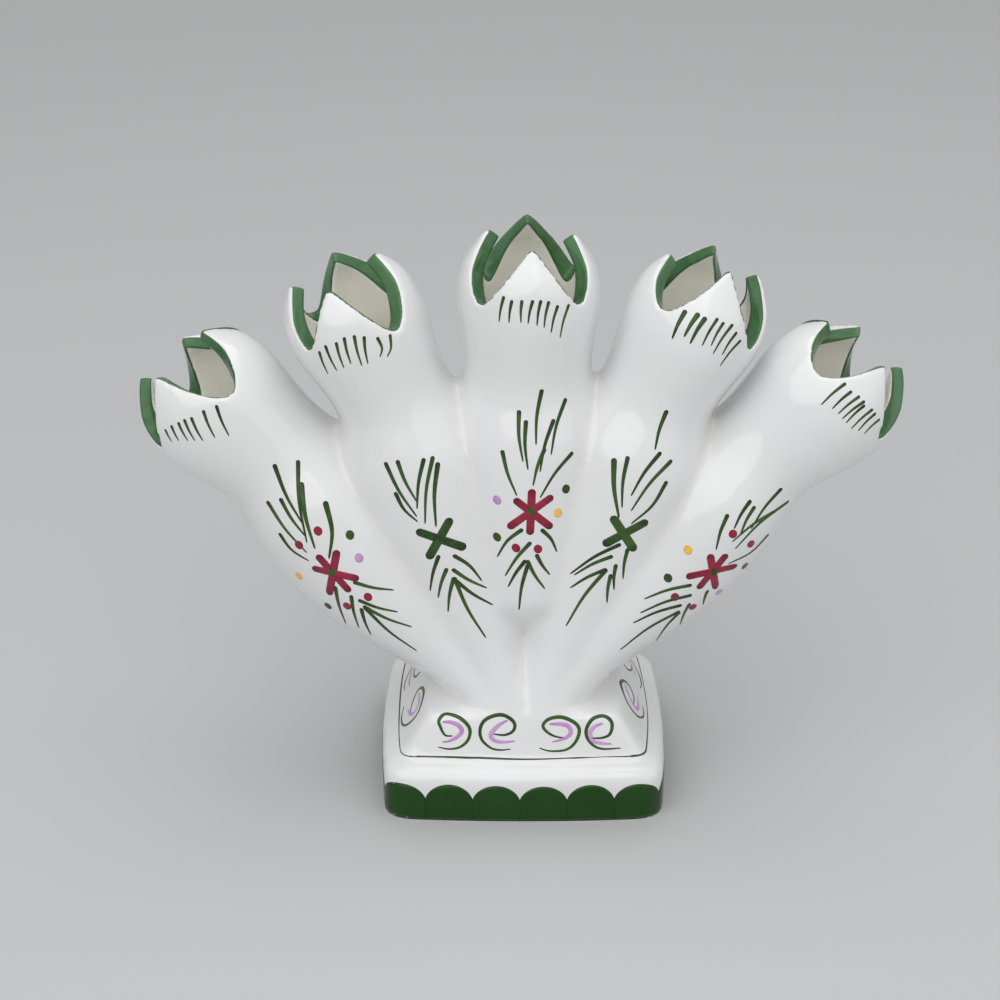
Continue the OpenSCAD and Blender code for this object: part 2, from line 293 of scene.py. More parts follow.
def carve(target: Object, cutter: Object, operation: str) -> None:
    """Cut one solid with another and drop the cutter.

    Args:
        target: Solid to cut.
        cutter: Solid to cut it with.
        operation: Which part is kept, as the Boolean modifier names it.
    """
    modifier = target.modifiers.new("carve", "BOOLEAN")
    modifier.object = cutter
    modifier.operation = operation
    modifier.solver = "MANIFOLD"
    settle(target)
    discard(cutter)


def discard(target: Object) -> None:
    """Remove a working object and its mesh.

    Args:
        target: Object that is no longer needed.
    """
    mesh = target.data
    bpy.data.objects.remove(target)
    bpy.data.meshes.remove(mesh)


def skin_tree(target: Object) -> BVHTree:
    """Make a search tree over an object's faces.

    Args:
        target: Object to search.

    Returns:
        The tree.
    """
    bm = bmesh.new()
    bm.from_mesh(target.data)
    tree = BVHTree.FromBMesh(bm)
    bm.free()
    return tree


class Place(Enum):
    """The five fingers, from left to right."""

    OUTER_LEFT = "outer_left"
    INNER_LEFT = "inner_left"
    CENTRE = "centre"
    INNER_RIGHT = "inner_right"
    OUTER_RIGHT = "outer_right"

    @property
    def number(self) -> int:
        """Number of the finger, counted from the left."""
        return list(Place).index(self)


@dataclass(frozen=True)
class FingerForm:
    """Sizes that the five fingers share."""

    pivot_z: float = 19.5 * MM
    inner_lean: float = math.radians(20.8)
    outer_lean: float = math.radians(41.0)
    start: float = 6.0 * MM
    reach: float = 145.0 * MM
    blank_end: float = 152.0 * MM
    lid_top: float = 159.0 * MM
    lid_r: float = 23.0 * MM
    step: float = 2.5 * MM
    crown_depth: float = 14.7 * MM
    notch_round: float = 0.32
    tip_round: float = 0.1
    crown_swell: float = 0.5
    cut_fall: float = 0.75
    level_cut: float = math.radians(318.0)
    level_spread: float = math.radians(42.0)
    root_z: float = 52.0 * MM
    share_z: float = 64.0 * MM
    root_lead: float = 4.0 * MM
    root_depth: float = 0.6
    left_underside: Profile = Profile((
        (6.0, 0.0), (24.0, -1.2), (40.0, -2.7), (52.0, -2.1), (62.0, -0.9), (72.0, -0.7), (82.0, -1.4),
        (92.0, -2.2), (102.0, -1.8), (110.0, -0.2), (118.0, 1.2), (126.0, 1.4), (136.0, 0.9), (145.0, 0.6),
        (152.0, 0.0),
    ))
    right_underside: Profile = Profile((
        (6.0, 0.0), (24.0, -2.4), (40.0, -5.2), (52.0, -5.0), (62.0, -4.2), (72.0, -3.8), (82.0, -4.6),
        (92.0, -5.0), (102.0, -3.6), (110.0, -1.5), (118.0, 0.6), (126.0, 1.2), (136.0, 0.9), (145.0, 0.6),
        (152.0, 0.0),
    ))
    upperside: Profile = Profile((
        (6.0, 0.0), (92.0, 0.0), (104.0, 1.3), (116.0, 1.2), (128.0, 1.3), (138.0, 1.1), (145.0, 0.6),
        (152.0, 0.0),
    ))
    lip: Profile = Profile(((6.0, 3.5), (108.0, 3.5), (124.0, 4.8), (152.0, 4.8)))
    pinch: Profile = Profile((
        (6.0, 0.0), (84.0, 0.0), (96.0, -1.4), (104.0, -3.0), (110.0, -2.6), (116.0, -1.9), (124.0, -0.8),
        (134.0, -0.3), (145.0, 0.0), (152.0, 0.0),
    ))
    width: Profile = Profile((
        (6.0, 13.2), (26.0, 13.3), (36.0, 17.2), (50.0, 21.3), (66.0, 22.9), (80.0, 22.9), (90.0, 21.9),
        (97.0, 19.8), (103.0, 17.9), (109.0, 17.5), (118.0, 18.4), (126.0, 19.2), (132.5, 18.7),
        (137.0, 17.3), (141.0, 14.7), (145.0, 11.6), (149.0, 7.4), (152.0, 3.0),
    ))
    depth: Profile = Profile((
        (6.0, 27.3), (10.5, 25.9), (19.0, 23.9), (28.0, 22.8), (40.0, 22.5), (66.0, 22.5), (80.0, 22.4),
        (90.0, 21.7), (97.0, 19.8), (103.0, 17.9), (109.0, 17.5), (118.0, 18.4), (126.0, 19.2),
        (132.5, 18.7), (137.0, 17.3), (141.0, 14.7), (145.0, 11.6), (149.0, 7.4), (152.0, 3.0),
    ))


@dataclass(frozen=True)
class Finger:
    """One tulip-mouthed tube of the fan."""

    place: Place
    form: FingerForm
    plinth_top: float
    lid_sides: int = 240
    lid_hub: float = 0.02
    width_rounds: int = 6

    @property
    def fan_lean(self) -> float:
        """Lean from upright in an even fan, to the right."""
        leans = {
            Place.OUTER_LEFT: -self.form.outer_lean,
            Place.INNER_LEFT: -self.form.inner_lean,
            Place.CENTRE: 0.0,
            Place.INNER_RIGHT: self.form.inner_lean,
            Place.OUTER_RIGHT: self.form.outer_lean,
        }
        return leans[self.place]

    @property
    def lean(self) -> float:
        """Lean from upright, with the small error that the maker left in some fingers."""
        errors = {Place.OUTER_LEFT: -0.3, Place.CENTRE: 0.4, Place.OUTER_RIGHT: -1.0}
        return self.fan_lean + math.radians(errors.get(self.place, 0.0))

    @property
    def side(self) -> float:
        """Side of the fan: 1 to the right and -1 to the left."""
        return math.copysign(1.0, self.fan_lean)

    @property
    def axis(self) -> Matrix:
        """Matrix from the finger's own upright axis to the frame."""
        return Matrix.Translation((0.0, 0.0, self.form.pivot_z)) @ Matrix.Rotation(self.lean, 4, "Y")

    def root_share(self, along: float) -> float:
        """Share of the depth left in the centre finger's tapering root.

        Args:
            along: Distance along the axis.

        Returns:
            The share, which is all of it on the other fingers.
        """
        if self.place is not Place.CENTRE:
            return 1.0
        low = self.form.root_z - self.form.root_lead - self.form.pivot_z
        high = self.form.share_z - self.form.pivot_z
        return ease(self.form.root_depth, 1.0, (along - low) / (high - low))

    @property
    def tips(self) -> tuple[tuple[float, float], ...]:
        """How far the tips of the petals are off an even crown.

        Returns:
            The turn in degrees and the rise in millimetres of the right, back, left and front tips.
        """
        uneven = {
            Place.OUTER_LEFT: ((-1.0, -0.4), (-9.0, -0.8), (-8.0, 0.2), (-15.0, 0.6)),
            Place.INNER_LEFT: ((3.0, -1.2), (2.0, -0.6), (18.0, -0.6), (-3.0, -2.0)),
            Place.CENTRE: ((-2.0, -0.4), (3.0, 1.4), (0.0, 0.6), (3.0, -0.6)),
            Place.INNER_RIGHT: ((4.0, 0.8), (10.0, 1.8), (-12.0, -2.6), (6.0, 2.4)),
            Place.OUTER_RIGHT: ((0.0, 1.4), (18.0, 1.0), (-11.0, -2.4), (12.0, 1.2)),
        }
        return uneven[self.place]

    @property
    def notches(self) -> tuple[tuple[float, float], ...]:
        """How far the notches between the petals are off an even crown.

        Returns:
            The share of the way from each tip to the next, and the added depth in millimetres.
        """
        even = (0.5, 0.0)
        uneven = {
            Place.INNER_LEFT: (even, (0.36, 0.5), even, (0.46, 3.4)),
            Place.INNER_RIGHT: (even, even, (0.55, -2.9), even),
            Place.OUTER_RIGHT: (even, even, (0.52, -3.8), even),
        }
        return uneven.get(self.place, (even,) * len(self.tips))

    def fuller(self, along: float) -> tuple[float, float]:
        """How much fuller the lower and upper sides of a leaning finger are than its round form.

        Args:
            along: Distance along the axis.

        Returns:
            What the lower and the upper side gain.
        """
        if self.place is Place.CENTRE:
            return 0.0, 0.0
        if self.place in (Place.INNER_LEFT, Place.INNER_RIGHT):
            return self.form.pinch.at(along), 0.0
        under = self.form.left_underside if self.place is Place.OUTER_LEFT else self.form.right_underside
        return under.at(along), self.form.upperside.at(along)

    def ring(self, along: float, grow: float) -> Matrix:
        """Matrix of the finger's section.

        Args:
            along: Distance along the axis.
            grow: How much larger the section is than the clay.

        Returns:
            The matrix that turns a unit circle into the section.
        """
        under, upper = self.fuller(along)
        half_w = max(self.form.width.at(along) + grow + (under + upper) / 2, MM)
        half_d = max(self.form.depth.at(along) * self.root_share(along) + grow, MM)
        middle = Matrix.Translation((self.side * (under - upper) / 2, 0.0, along))
        return self.axis @ middle @ Matrix.Diagonal((half_w, half_d, 1.0, 1.0))

    def stations(self, end: float) -> list[float]:
        """Distances along the axis at which the sections stand."""
        count = round((end - self.form.start) / self.form.step)
        return [self.form.start + (end - self.form.start) * i / count for i in range(count + 1)]

    def blank(self, bm: BMesh) -> None:
        """Draw the finger before it is hollowed or cut."""
        places = [self.ring(along, 0.0) for along in self.stations(self.form.blank_end)]
        loft(bm, round_ring(bm, places[0]), places)

    def hollow(self) -> BMesh:
        """Draw the finger's hollow, open past its mouth and level with the plinth's top.

        Returns:
            The hollow as a solid in a mesh of its own.
        """
        bm = bmesh.new()
        places = [self.ring(along, -self.form.lip.at(along)) for along in self.stations(self.form.reach)]
        past_mouth = self.axis.to_3x3() @ Vector((0.0, 0.0, self.form.lid_top - self.form.reach))
        places.append(Matrix.Translation(past_mouth) @ places[-1])
        loft(bm, round_ring(bm, places[0]), places)
        cut = bmesh.ops.bisect_plane(
            bm,
            geom=[*bm.verts, *bm.edges, *bm.faces],
            plane_co=(0.0, 0.0, self.plinth_top),
            plane_no=(0.0, 0.0, 1.0),
            clear_inner=True,
        )["geom_cut"]
        bmesh.ops.edgeloop_fill(bm, edges=[part for part in cut if isinstance(part, BMEdge)])
        return bm

    def crown(self, turn: float) -> float:
        """Distance along the axis of the cut edge, at a turn round the axis.

        Args:
            turn: Turn in radians round the finger's own axis.

        Returns:
            The distance, greatest at the tips and least in the rounded notches.
        """
        turns = [index * math.pi / 2 + math.radians(tip[0]) for index, tip in enumerate(self.tips)]
        for index, start in enumerate(turns):
            after = (index + 1) % len(turns)
            share = (turn - start) % math.tau / ((turns[after] - start) % math.tau)
            if share <= 1.0:
                break
        middle, deeper = self.notches[index]
        share = share / middle / 2 if share < middle else 1 - (1 - share) / (1 - middle) / 2
        tip_rise = self.tips[index if share < 0.5 else after][1] * MM
        from_tip = ease_off(1.0 - abs(2 * share - 1), self.form.tip_round)
        level = ease_off(1.0 - from_tip, self.form.notch_round)
        swell = self.form.crown_swell
        rise = (1 + swell) * level - swell * level * level
        fall = self.form.crown_depth + deeper * MM + tip_rise
        return self.form.reach + tip_rise - fall * (1 - rise)

    def fall(self, turn: float) -> float:
        """How steeply the cut face falls inwards, which is less in one notch of the inner left finger.

        Args:
            turn: Turn in radians round the finger's own axis.

        Returns:
            The fall along the axis over the distance inwards.
        """
        if self.place is not Place.INNER_LEFT:
            return self.form.cut_fall
        away = ((turn - self.form.level_cut + math.pi) % math.tau - math.pi) / self.form.level_spread
        return self.form.cut_fall * (1 - math.exp(-away * away))

    def cut(self, turn: float, radius: float) -> float:
        """Distance along the axis of the cut face, which falls inwards from the crown."""
        edge = self.crown(turn)
        return edge + self.fall(turn) * (radius - self.form.width.at(edge))

    def cut_width(self, turn: float) -> float:
        """Width of the cut face between the outside and the hollow, seen along the axis.

        Args:
            turn: Turn in radians round the finger's own axis.

        Returns:
            The width, which settles over a few rounds because the hollow narrows below the edge.
        """
        edge = self.crown(turn)
        across = self.form.lip.at(edge)
        for _ in range(self.width_rounds):
            inner = self.form.width.at(edge - self.fall(turn) * across) - self.form.lip.at(edge)
            across = self.form.width.at(edge) - inner
        return across

    def lid(self, bm: BMesh) -> None:
        """Draw what is cut away above the petals.

        Args:
            bm: Mesh to draw it in.
        """
        lid_r = self.form.lid_r
        made = bmesh.ops.create_circle(bm, cap_ends=False, radius=lid_r, segments=self.lid_sides)
        rim = made["verts"]
        ring = boundary(rim)
        for vert in rim:
            vert.co.z = self.cut(math.atan2(vert.co.y, vert.co.x), lid_r)
        hub, hub_ring = drawn_out(bm, ring)
        bmesh.ops.scale(bm, vec=(self.lid_hub, self.lid_hub, 1.0), verts=hub)
        for vert in hub:
            vert.co.z = self.cut(math.atan2(vert.co.y, vert.co.x), vert.co.xy.length)
        bmesh.ops.edgeloop_fill(bm, edges=hub_ring)
        top, top_ring = drawn_out(bm, ring)
        for vert in top:
            vert.co.z = self.form.lid_top
        bmesh.ops.edgeloop_fill(bm, edges=top_ring)
        bmesh.ops.transform(bm, matrix=self.axis, verts=[*rim, *hub, *top])

    def seam(self, lean: float, z: float) -> Vector:
        """Point on a seam of the given lean, seen from the front."""
        return Vector(((z - self.form.pivot_z) * math.tan(lean), z))

    def share(self) -> BMesh:
        """Draw the finger's share of the fan, as a slab through front and back.

        Returns:
            The slab in a mesh of its own.
        """
        far = 3 * self.form.reach
        inner = self.form.inner_lean / 2
        outer = (self.form.inner_lean + self.form.outer_lean) / 2
        root = Vector((0.0, self.form.root_z))
        parting = self.seam(inner, self.form.share_z)
        outlines = {
            0.0: [
                root, parting, self.seam(inner, far), self.seam(-inner, far),
                self.seam(-inner, self.form.share_z),
            ],
            self.form.inner_lean: [
                Vector((0.0, self.plinth_top)), root, parting, self.seam(inner, far),
                self.seam(outer, far), self.seam(outer, self.plinth_top),
            ],
            self.form.outer_lean: [
                self.seam(outer, self.plinth_top), self.seam(outer, far), Vector((far, far)),
                Vector((far, self.plinth_top)),
            ],
        }
        bm = bmesh.new()
        outline = outlines[abs(self.fan_lean)]
        face = bm.faces.new([bm.verts.new((self.side * point.x, -far, point.y)) for point in outline])
        grown = bmesh.ops.extrude_face_region(bm, geom=[face])["geom"]
        moved = [part for part in grown if isinstance(part, BMVert)]
        bmesh.ops.translate(bm, vec=(0.0, 2 * far, 0.0), verts=moved)
        return bm


@dataclass(frozen=True)
class Outline:
    """Rectangle with round corners, seen from above."""

    half: Vector
    corner: float

    @property
    def flat(self) -> Vector:
        """Half lengths of the straight parts of the front and the end."""
        return self.half - Vector((self.corner, self.corner))

    @property
    def girth(self) -> float:
        """Distance once round."""
        return 4 * (self.flat.x + self.flat.y) + 2 * math.pi * self.corner

    def walk(self, along: float, z: float) -> Vector:
        """Point on the outline, walking round it from the middle of the front.

        Args:
            along: Distance walked, to the right at first.
            z: Height.

        Returns:
            The point at that height.
        """
        flat = self.flat
        arc = math.pi / 2 * self.corner
        turns, left = divmod(along, self.girth / 2)
        if left <= flat.x:
            point = Vector((left, -self.half.y, z))
        elif left <= flat.x + arc:
            angle = (left - flat.x) / self.corner
            round_off = Vector((math.sin(angle), -math.cos(angle))) * self.corner
            point = Vector((flat.x + round_off.x, round_off.y - flat.y, z))
        elif left <= flat.x + arc + 2 * flat.y:
            point = Vector((self.half.x, left - flat.x - arc - flat.y, z))
        elif left <= flat.x + 2 * arc + 2 * flat.y:
            angle = (left - flat.x - arc - 2 * flat.y) / self.corner
            round_off = Vector((math.cos(angle), math.sin(angle))) * self.corner
            point = Vector((flat.x + round_off.x, flat.y + round_off.y, z))
        else:
            point = Vector((self.girth / 2 - left, self.half.y, z))
        point.xy = bowed(point.xy, self.half)
        return Matrix.Rotation(turns * math.pi, 3, "Z") @ point


@dataclass(frozen=True)
class Plinth:
    """Four-sided foot with its rounded shoulder and leaning panels."""

    half_foot: Vector
    top: float
    slab_low: float
    slab_top: float
    half_slab: Vector
    corner: float = 7.0 * MM
    panel_corner: float = 2.5 * MM
    band_h: float = 13.0 * MM
    shoulder_in: Vector = Vector((4.8 * MM, 6.2 * MM))
    shoulder_h: float = 4.0 * MM
    half_top: Vector = Vector((27.75 * MM, 26.0 * MM))
    wall: float = 4.5 * MM
    half_opening: Vector = Vector((19.0 * MM, 19.0 * MM))
    opening_corner: float = 12.0 * MM
    past: float = 5.0 * MM
    sole: float = 0.4 * MM
    overlap: float = 1.0 * MM
    slab_edge: float = 0.4 * MM
    slab_edge_steps: int = 2
    sharp_edge: float = math.radians(60)
    shoulder_steps: int = 8

    def inset(self, half: Vector, amount: float) -> Vector:
        """Half width and half depth of a rectangle that lies inside another."""
        return half - Vector((amount, amount))

    def stack(self, bm: BMesh, corner: float, rings: Sequence[tuple[Vector, float]]) -> None:
        """Draw a four-sided solid through a row of rings.

        Args:
            bm: Mesh to draw it in.
            corner: Corner radius of the first ring.
            rings: Half width and half depth, and the height, of each ring.
        """
        places = [
            Matrix.Translation((0.0, 0.0, z)) @ Matrix.Diagonal((*half, 1.0, 1.0)) for half, z in rings
        ]
        loft(bm, square_ring(bm, places[0], corner / rings[0][0].x), places)

    def blank(self, bm: BMesh) -> None:
        """Draw the plinth before it is hollowed.

        Args:
            bm: Mesh to draw it in.
        """
        rings = [(self.half_foot, -self.past)]
        for i in range(self.shoulder_steps + 1):
            angle = math.pi / 2 * i / self.shoulder_steps
            amount = self.shoulder_in * (1 - math.cos(angle))
            rings.append((self.half_foot - amount, self.band_h + self.shoulder_h * math.sin(angle)))
        self.stack(bm, self.corner, rings)
        half_panel = self.half_foot - self.shoulder_in
        foot_top = self.band_h + self.shoulder_h
        panels = [(half_panel, self.band_h), (half_panel, foot_top), (self.half_top, self.top)]
        self.stack(bm, self.panel_corner, panels)

    def hollow(self, bm: BMesh) -> None:
        """Draw the water chamber, its opening to the fingers and the rebate of the floor slab.

        Args:
            bm: Mesh to draw them in.
        """
        half_chamber = self.inset(self.half_foot, self.wall)
        inner_corner = self.corner - self.wall
        roof = self.top - self.wall
        self.stack(bm, inner_corner, [(self.half_slab, -2 * self.past), (self.half_slab, self.slab_top)])
        self.stack(bm, inner_corner, [
            (half_chamber, self.slab_low),
            (half_chamber, self.band_h - self.shoulder_h / 2),
            (half_chamber - self.shoulder_in, self.band_h + self.shoulder_h),
            (self.half_opening, roof),
        ])
        self.stack(bm, self.opening_corner, [
            (self.half_opening, roof - self.overlap),
            (self.half_opening, self.top + self.past),
        ])

    def slab(self) -> Object:
        """Build the floor slab, with eased edges.

        Returns:
            The slab.
        """
        bm = bmesh.new()
        rings = [(self.half_slab, self.slab_low), (self.half_slab, self.slab_top)]
        self.stack(bm, self.corner - self.wall, rings)
        bmesh.ops.recalc_face_normals(bm, faces=bm.faces)
        bmesh.ops.bevel(
            bm,
            geom=[edge for edge in bm.edges if edge.calc_face_angle(0.0) > self.sharp_edge],
            offset=self.slab_edge,
            affect="EDGES",
            segments=self.slab_edge_steps,
            profile=0.5,
            material=-1,
        )
        return to_object("floor_slab", bm)


@dataclass(frozen=True)
class StudioCamera:
    """Camera at the photograph's viewing angle, for a square picture."""

    pitch: float = math.radians(28.0)
    distance: float = 613.0 * MM
    focal_px: float = 2200.0
    picture_px: float = 1000.0
    sensor_mm: float = 36.0
    aim: tuple[float, float, float] = (-6.7 * MM, 0.0, 84.8 * MM)

    @property
    def forward(self) -> Vector:
        """Direction of view."""
        return Vector((0.0, math.cos(self.pitch), -math.sin(self.pitch)))

    @property
    def up(self) -> Vector:
        """Direction of the picture's upper edge."""
        return Vector((0.0, math.sin(self.pitch), math.cos(self.pitch)))

    @property
    def eye(self) -> Vector:
        """Where the camera stands."""
        return Vector(self.aim) - self.forward * self.distance

    def sight(self, pixel: Pixel) -> Vector:
        """Direction from the camera through a point of the picture.

        Args:
            pixel: Point of the picture.

        Returns:
            The direction, of unit length.
        """
        half = self.picture_px / 2
        across = Vector((1.0, 0.0, 0.0)) * (pixel[0] - half)
        return (self.forward * self.focal_px + across + self.up * (half - pixel[1])).normalized()

    def pixels(self, length: float) -> float:
        """Length in the picture of a real length on the vase's front."""
        return length * self.focal_px / self.distance

    def build(self) -> None:
        """Make the camera and use it for the scene."""
        data = bpy.data.cameras.new("camera")
        data.sensor_width = self.sensor_mm
        data.lens = self.focal_px * self.sensor_mm / self.picture_px
        camera = bpy.data.objects.new("camera", data)
        camera.location = self.eye
        camera.rotation_euler = (math.pi / 2 - self.pitch, 0.0, 0.0)
        bpy.context.scene.collection.objects.link(camera)
        bpy.context.scene.camera = camera


class NodeSheet:
    """Small helper that lays out a material's nodes."""

    def __init__(self, name: str) -> None:
        """Start a material with one shader.

        Args:
            name: Name of the material.
        """
        self.material = bpy.data.materials.new(name)
        self.material.use_nodes = True
        self.tree = self.material.node_tree
        self.shader = next(node for node in self.tree.nodes if node.type == "BSDF_PRINCIPLED")

    def add(self, kind: str, **values: object) -> bpy.types.Node:
        """Add a node and set its properties.

        Args:
            kind: Type of the node.
            values: Properties by name.

        Returns:
            The node.
        """
        node = self.tree.nodes.new(kind)
        for name, value in values.items():
            setattr(node, name, value)
        return node

    def link(self, start: Socket, end: Socket) -> None:
        """Join two sockets."""
        self.tree.links.new(start, end)

    def fill(self, node: bpy.types.Node, values: dict[str, float]) -> None:
        """Set a node's sockets by name."""
        for name, value in values.items():
            node.inputs[name].default_value = value

    def noise(self, scale: float, detail: float) -> Socket:
        """Add noise that stays with the piece.

        Args:
            scale: How many times a metre it repeats.
            detail: How fine it is.

        Returns:
            The socket that gives the noise.
        """
        where = self.add("ShaderNodeTexCoord")
        noise = self.add("ShaderNodeTexNoise")
        self.fill(noise, {"Scale": scale, "Detail": detail})
        self.link(where.outputs["Object"], noise.inputs["Vector"])
        return noise.outputs["Fac"]

    def attribute(self, name: str) -> Socket:
        """Read one of the piece's own values."""
        return self.add("ShaderNodeAttribute", attribute_name=name).outputs["Fac"]

    def spread(self, value: Socket, low: float, high: float, top: float) -> Socket:
        """Map a value from low..high to 0..top.

        Args:
            value: Socket that gives the value.
            low: Value that becomes 0.
            high: Value that becomes top.
            top: Greatest result.

        Returns:
            The socket that gives the result.
        """
        node = self.add("ShaderNodeMapRange")
        self.fill(node, {"From Min": low, "From Max": high, "To Max": top})
        self.link(value, node.inputs["Value"])
        return node.outputs["Result"]

    def blend(self, share: Socket, start: Socket | Colour, end: Colour) -> Socket:
        """Mix a colour into another by a share.

        Args:
            share: Socket that gives the share of the end colour.
            start: Colour, or socket that gives it, where the share is 0.
            end: Colour where the share is 1.

        Returns:
            The socket that gives the mixed colour.
        """
        share_in, start_in, end_in, colour_out = 0, 6, 7, 2
        node = self.add("ShaderNodeMix", data_type="RGBA")
        self.link(share, node.inputs[share_in])
        if isinstance(start, Socket):
            self.link(start, node.inputs[start_in])
        else:
            node.inputs[start_in].default_value = (*start, 1.0)
        node.inputs[end_in].default_value = (*end, 1.0)
        return node.outputs[colour_out]

    def bump(self, height: Socket, depth: float, strength: float) -> None:
        """Raise the surface by a height map.

        Args:
            height: Socket that gives the height.
            depth: Greatest height.
            strength: How strongly it shows.
        """
        node = self.add("ShaderNodeBump")
        self.fill(node, {"Distance": depth, "Strength": strength})
        self.link(height, node.inputs["Height"])
        self.link(node.outputs["Normal"], self.shader.inputs["Normal"])


@dataclass(frozen=True)
class Glaze:
    """Glossy glaze over clay, with painted shade that makes it darker and warmer in the grooves."""

    name: str
    colour: Colour
    cloud: Colour
    groove_shade_colour: Colour
    roughness: float
    coat: float

    def material(self) -> bpy.types.Material:
        """Make the material.

        Returns:
            The material.
        """
        sheet = NodeSheet(self.name)
        clouds = sheet.spread(sheet.noise(scale=26.0, detail=3.0), low=0.4, high=0.72, top=0.8)
        tinted = sheet.blend(clouds, self.colour, self.cloud)
        # Painted shade: mix the glaze towards a darker, warmer colour by how deep a point lies in a groove.
        groove_shades = sheet.spread(sheet.attribute("groove_shade"), low=0.1, high=1.0, top=0.55)
        tinted = sheet.blend(groove_shades, tinted, self.groove_shade_colour)
        sheet.link(tinted, sheet.shader.inputs["Base Color"])
        gloss = sheet.spread(sheet.noise(scale=140.0, detail=2.0), low=0.3, high=0.7, top=0.06)
        rough = sheet.add("ShaderNodeMath", operation="ADD")
        sheet.link(gloss, rough.inputs[0])
        rough.inputs[1].default_value = self.roughness
        sheet.link(rough.outputs[0], sheet.shader.inputs["Roughness"])
        sheet.fill(sheet.shader, {"IOR": 1.5, "Coat Weight": self.coat, "Coat Roughness": 0.04})
        sheet.bump(sheet.noise(scale=75.0, detail=2.0), depth=0.5 * MM, strength=0.09)
        return sheet.material


@dataclass(frozen=True)
class Enamel:
    """Brushed colour, thicker and darker where the brush stops."""

    name: str
    colour: Colour
    dark: Colour
    pale: Colour
    end_share: float = 0.8
    pale_share: float = 0.55
    grain: float = 700.0
    roughness: float = 0.16

    def material(self) -> bpy.types.Material:
        """Make the material.

        Returns:
            The material.
        """
        sheet = NodeSheet(self.name)
        grain = sheet.noise(scale=self.grain, detail=3.0)
        mottle = sheet.spread(grain, low=0.42, high=0.75, top=self.pale_share)
        tinted = sheet.blend(mottle, self.colour, self.pale)
        tone = sheet.spread(sheet.attribute("tone"), low=0.0, high=1.0, top=self.pale_share)
        tinted = sheet.blend(tone, tinted, self.pale)
        ends = sheet.spread(sheet.attribute("ends"), low=0.35, high=1.0, top=self.end_share)
        tinted = sheet.blend(ends, tinted, self.dark)
        sheet.link(tinted, sheet.shader.inputs["Base Color"])
        sheet.fill(sheet.shader, {
            "Roughness": self.roughness,
            "IOR": 1.5,
            "Specular IOR Level": 0.25,
            "Coat Weight": 0.15,
            "Coat Roughness": 0.05,
        })
        sheet.bump(sheet.noise(scale=self.grain / 2, detail=2.0), depth=0.1 * MM, strength=0.12)
        return sheet.material


class Finishes:
    """The vase's finishes, by the record's slot."""

    def __init__(self) -> None:
        """Make every material once."""
        self.white = Glaze(
            "white_glaze", (0.77, 0.775, 0.78), (0.74, 0.74, 0.735), (0.68, 0.66, 0.57),
            roughness=0.1, coat=0.5,
        ).material()
        # Warm white glaze inside the hollows, set lighter than the outer white glaze as painted light for
        # the inside of the mouths.
        self.lit_ivory = Glaze(
            "ivory_glaze", (0.92, 0.90, 0.83), (0.90, 0.875, 0.80), (0.84, 0.80, 0.70),
            roughness=0.22, coat=0.3,
        ).material()
        self.clay = Glaze(
            "bare_clay", (0.72, 0.66, 0.56), (0.66, 0.59, 0.49), (0.6, 0.52, 0.42),
            roughness=0.55, coat=0.0,
        ).material()
        enamels = (
            Enamel(
                "rim_green", (0.032, 0.115, 0.032), (0.010, 0.048, 0.010), (0.10, 0.215, 0.105),
                end_share=0.8, pale_share=0.6, grain=260.0, roughness=0.12,
            ),
            Enamel(
                "foot_green", (0.005, 0.042, 0.001), (0.002, 0.022, 0.001), (0.010, 0.060, 0.004),
                end_share=0.6, pale_share=0.5, grain=150.0, roughness=0.12,
            ),
            Enamel(
                "leaf_green", (0.016, 0.042, 0.009), (0.009, 0.024, 0.006), (0.06, 0.145, 0.022),
                end_share=0.8, pale_share=0.5,
            ),
            Enamel("crimson", (0.24, 0.009, 0.032), (0.09, 0.004, 0.010), (0.34, 0.03, 0.065)),
            Enamel("violet", (0.50, 0.25, 0.55), (0.40, 0.17, 0.45), (0.64, 0.42, 0.68)),
            Enamel("yellow", (0.84, 0.45, 0.03), (0.66, 0.30, 0.01), (0.90, 0.60, 0.14)),
        )
        self.enamels = {enamel.name: enamel.material() for enamel in enamels}


class Press(Enum):
    """How a brush is pressed along its stroke."""

    LEAF = "thick at the start and thin at the end"
    EVEN = "even, with round ends"
    DAB = "one round touch"
    CURL = "thin at both ends"


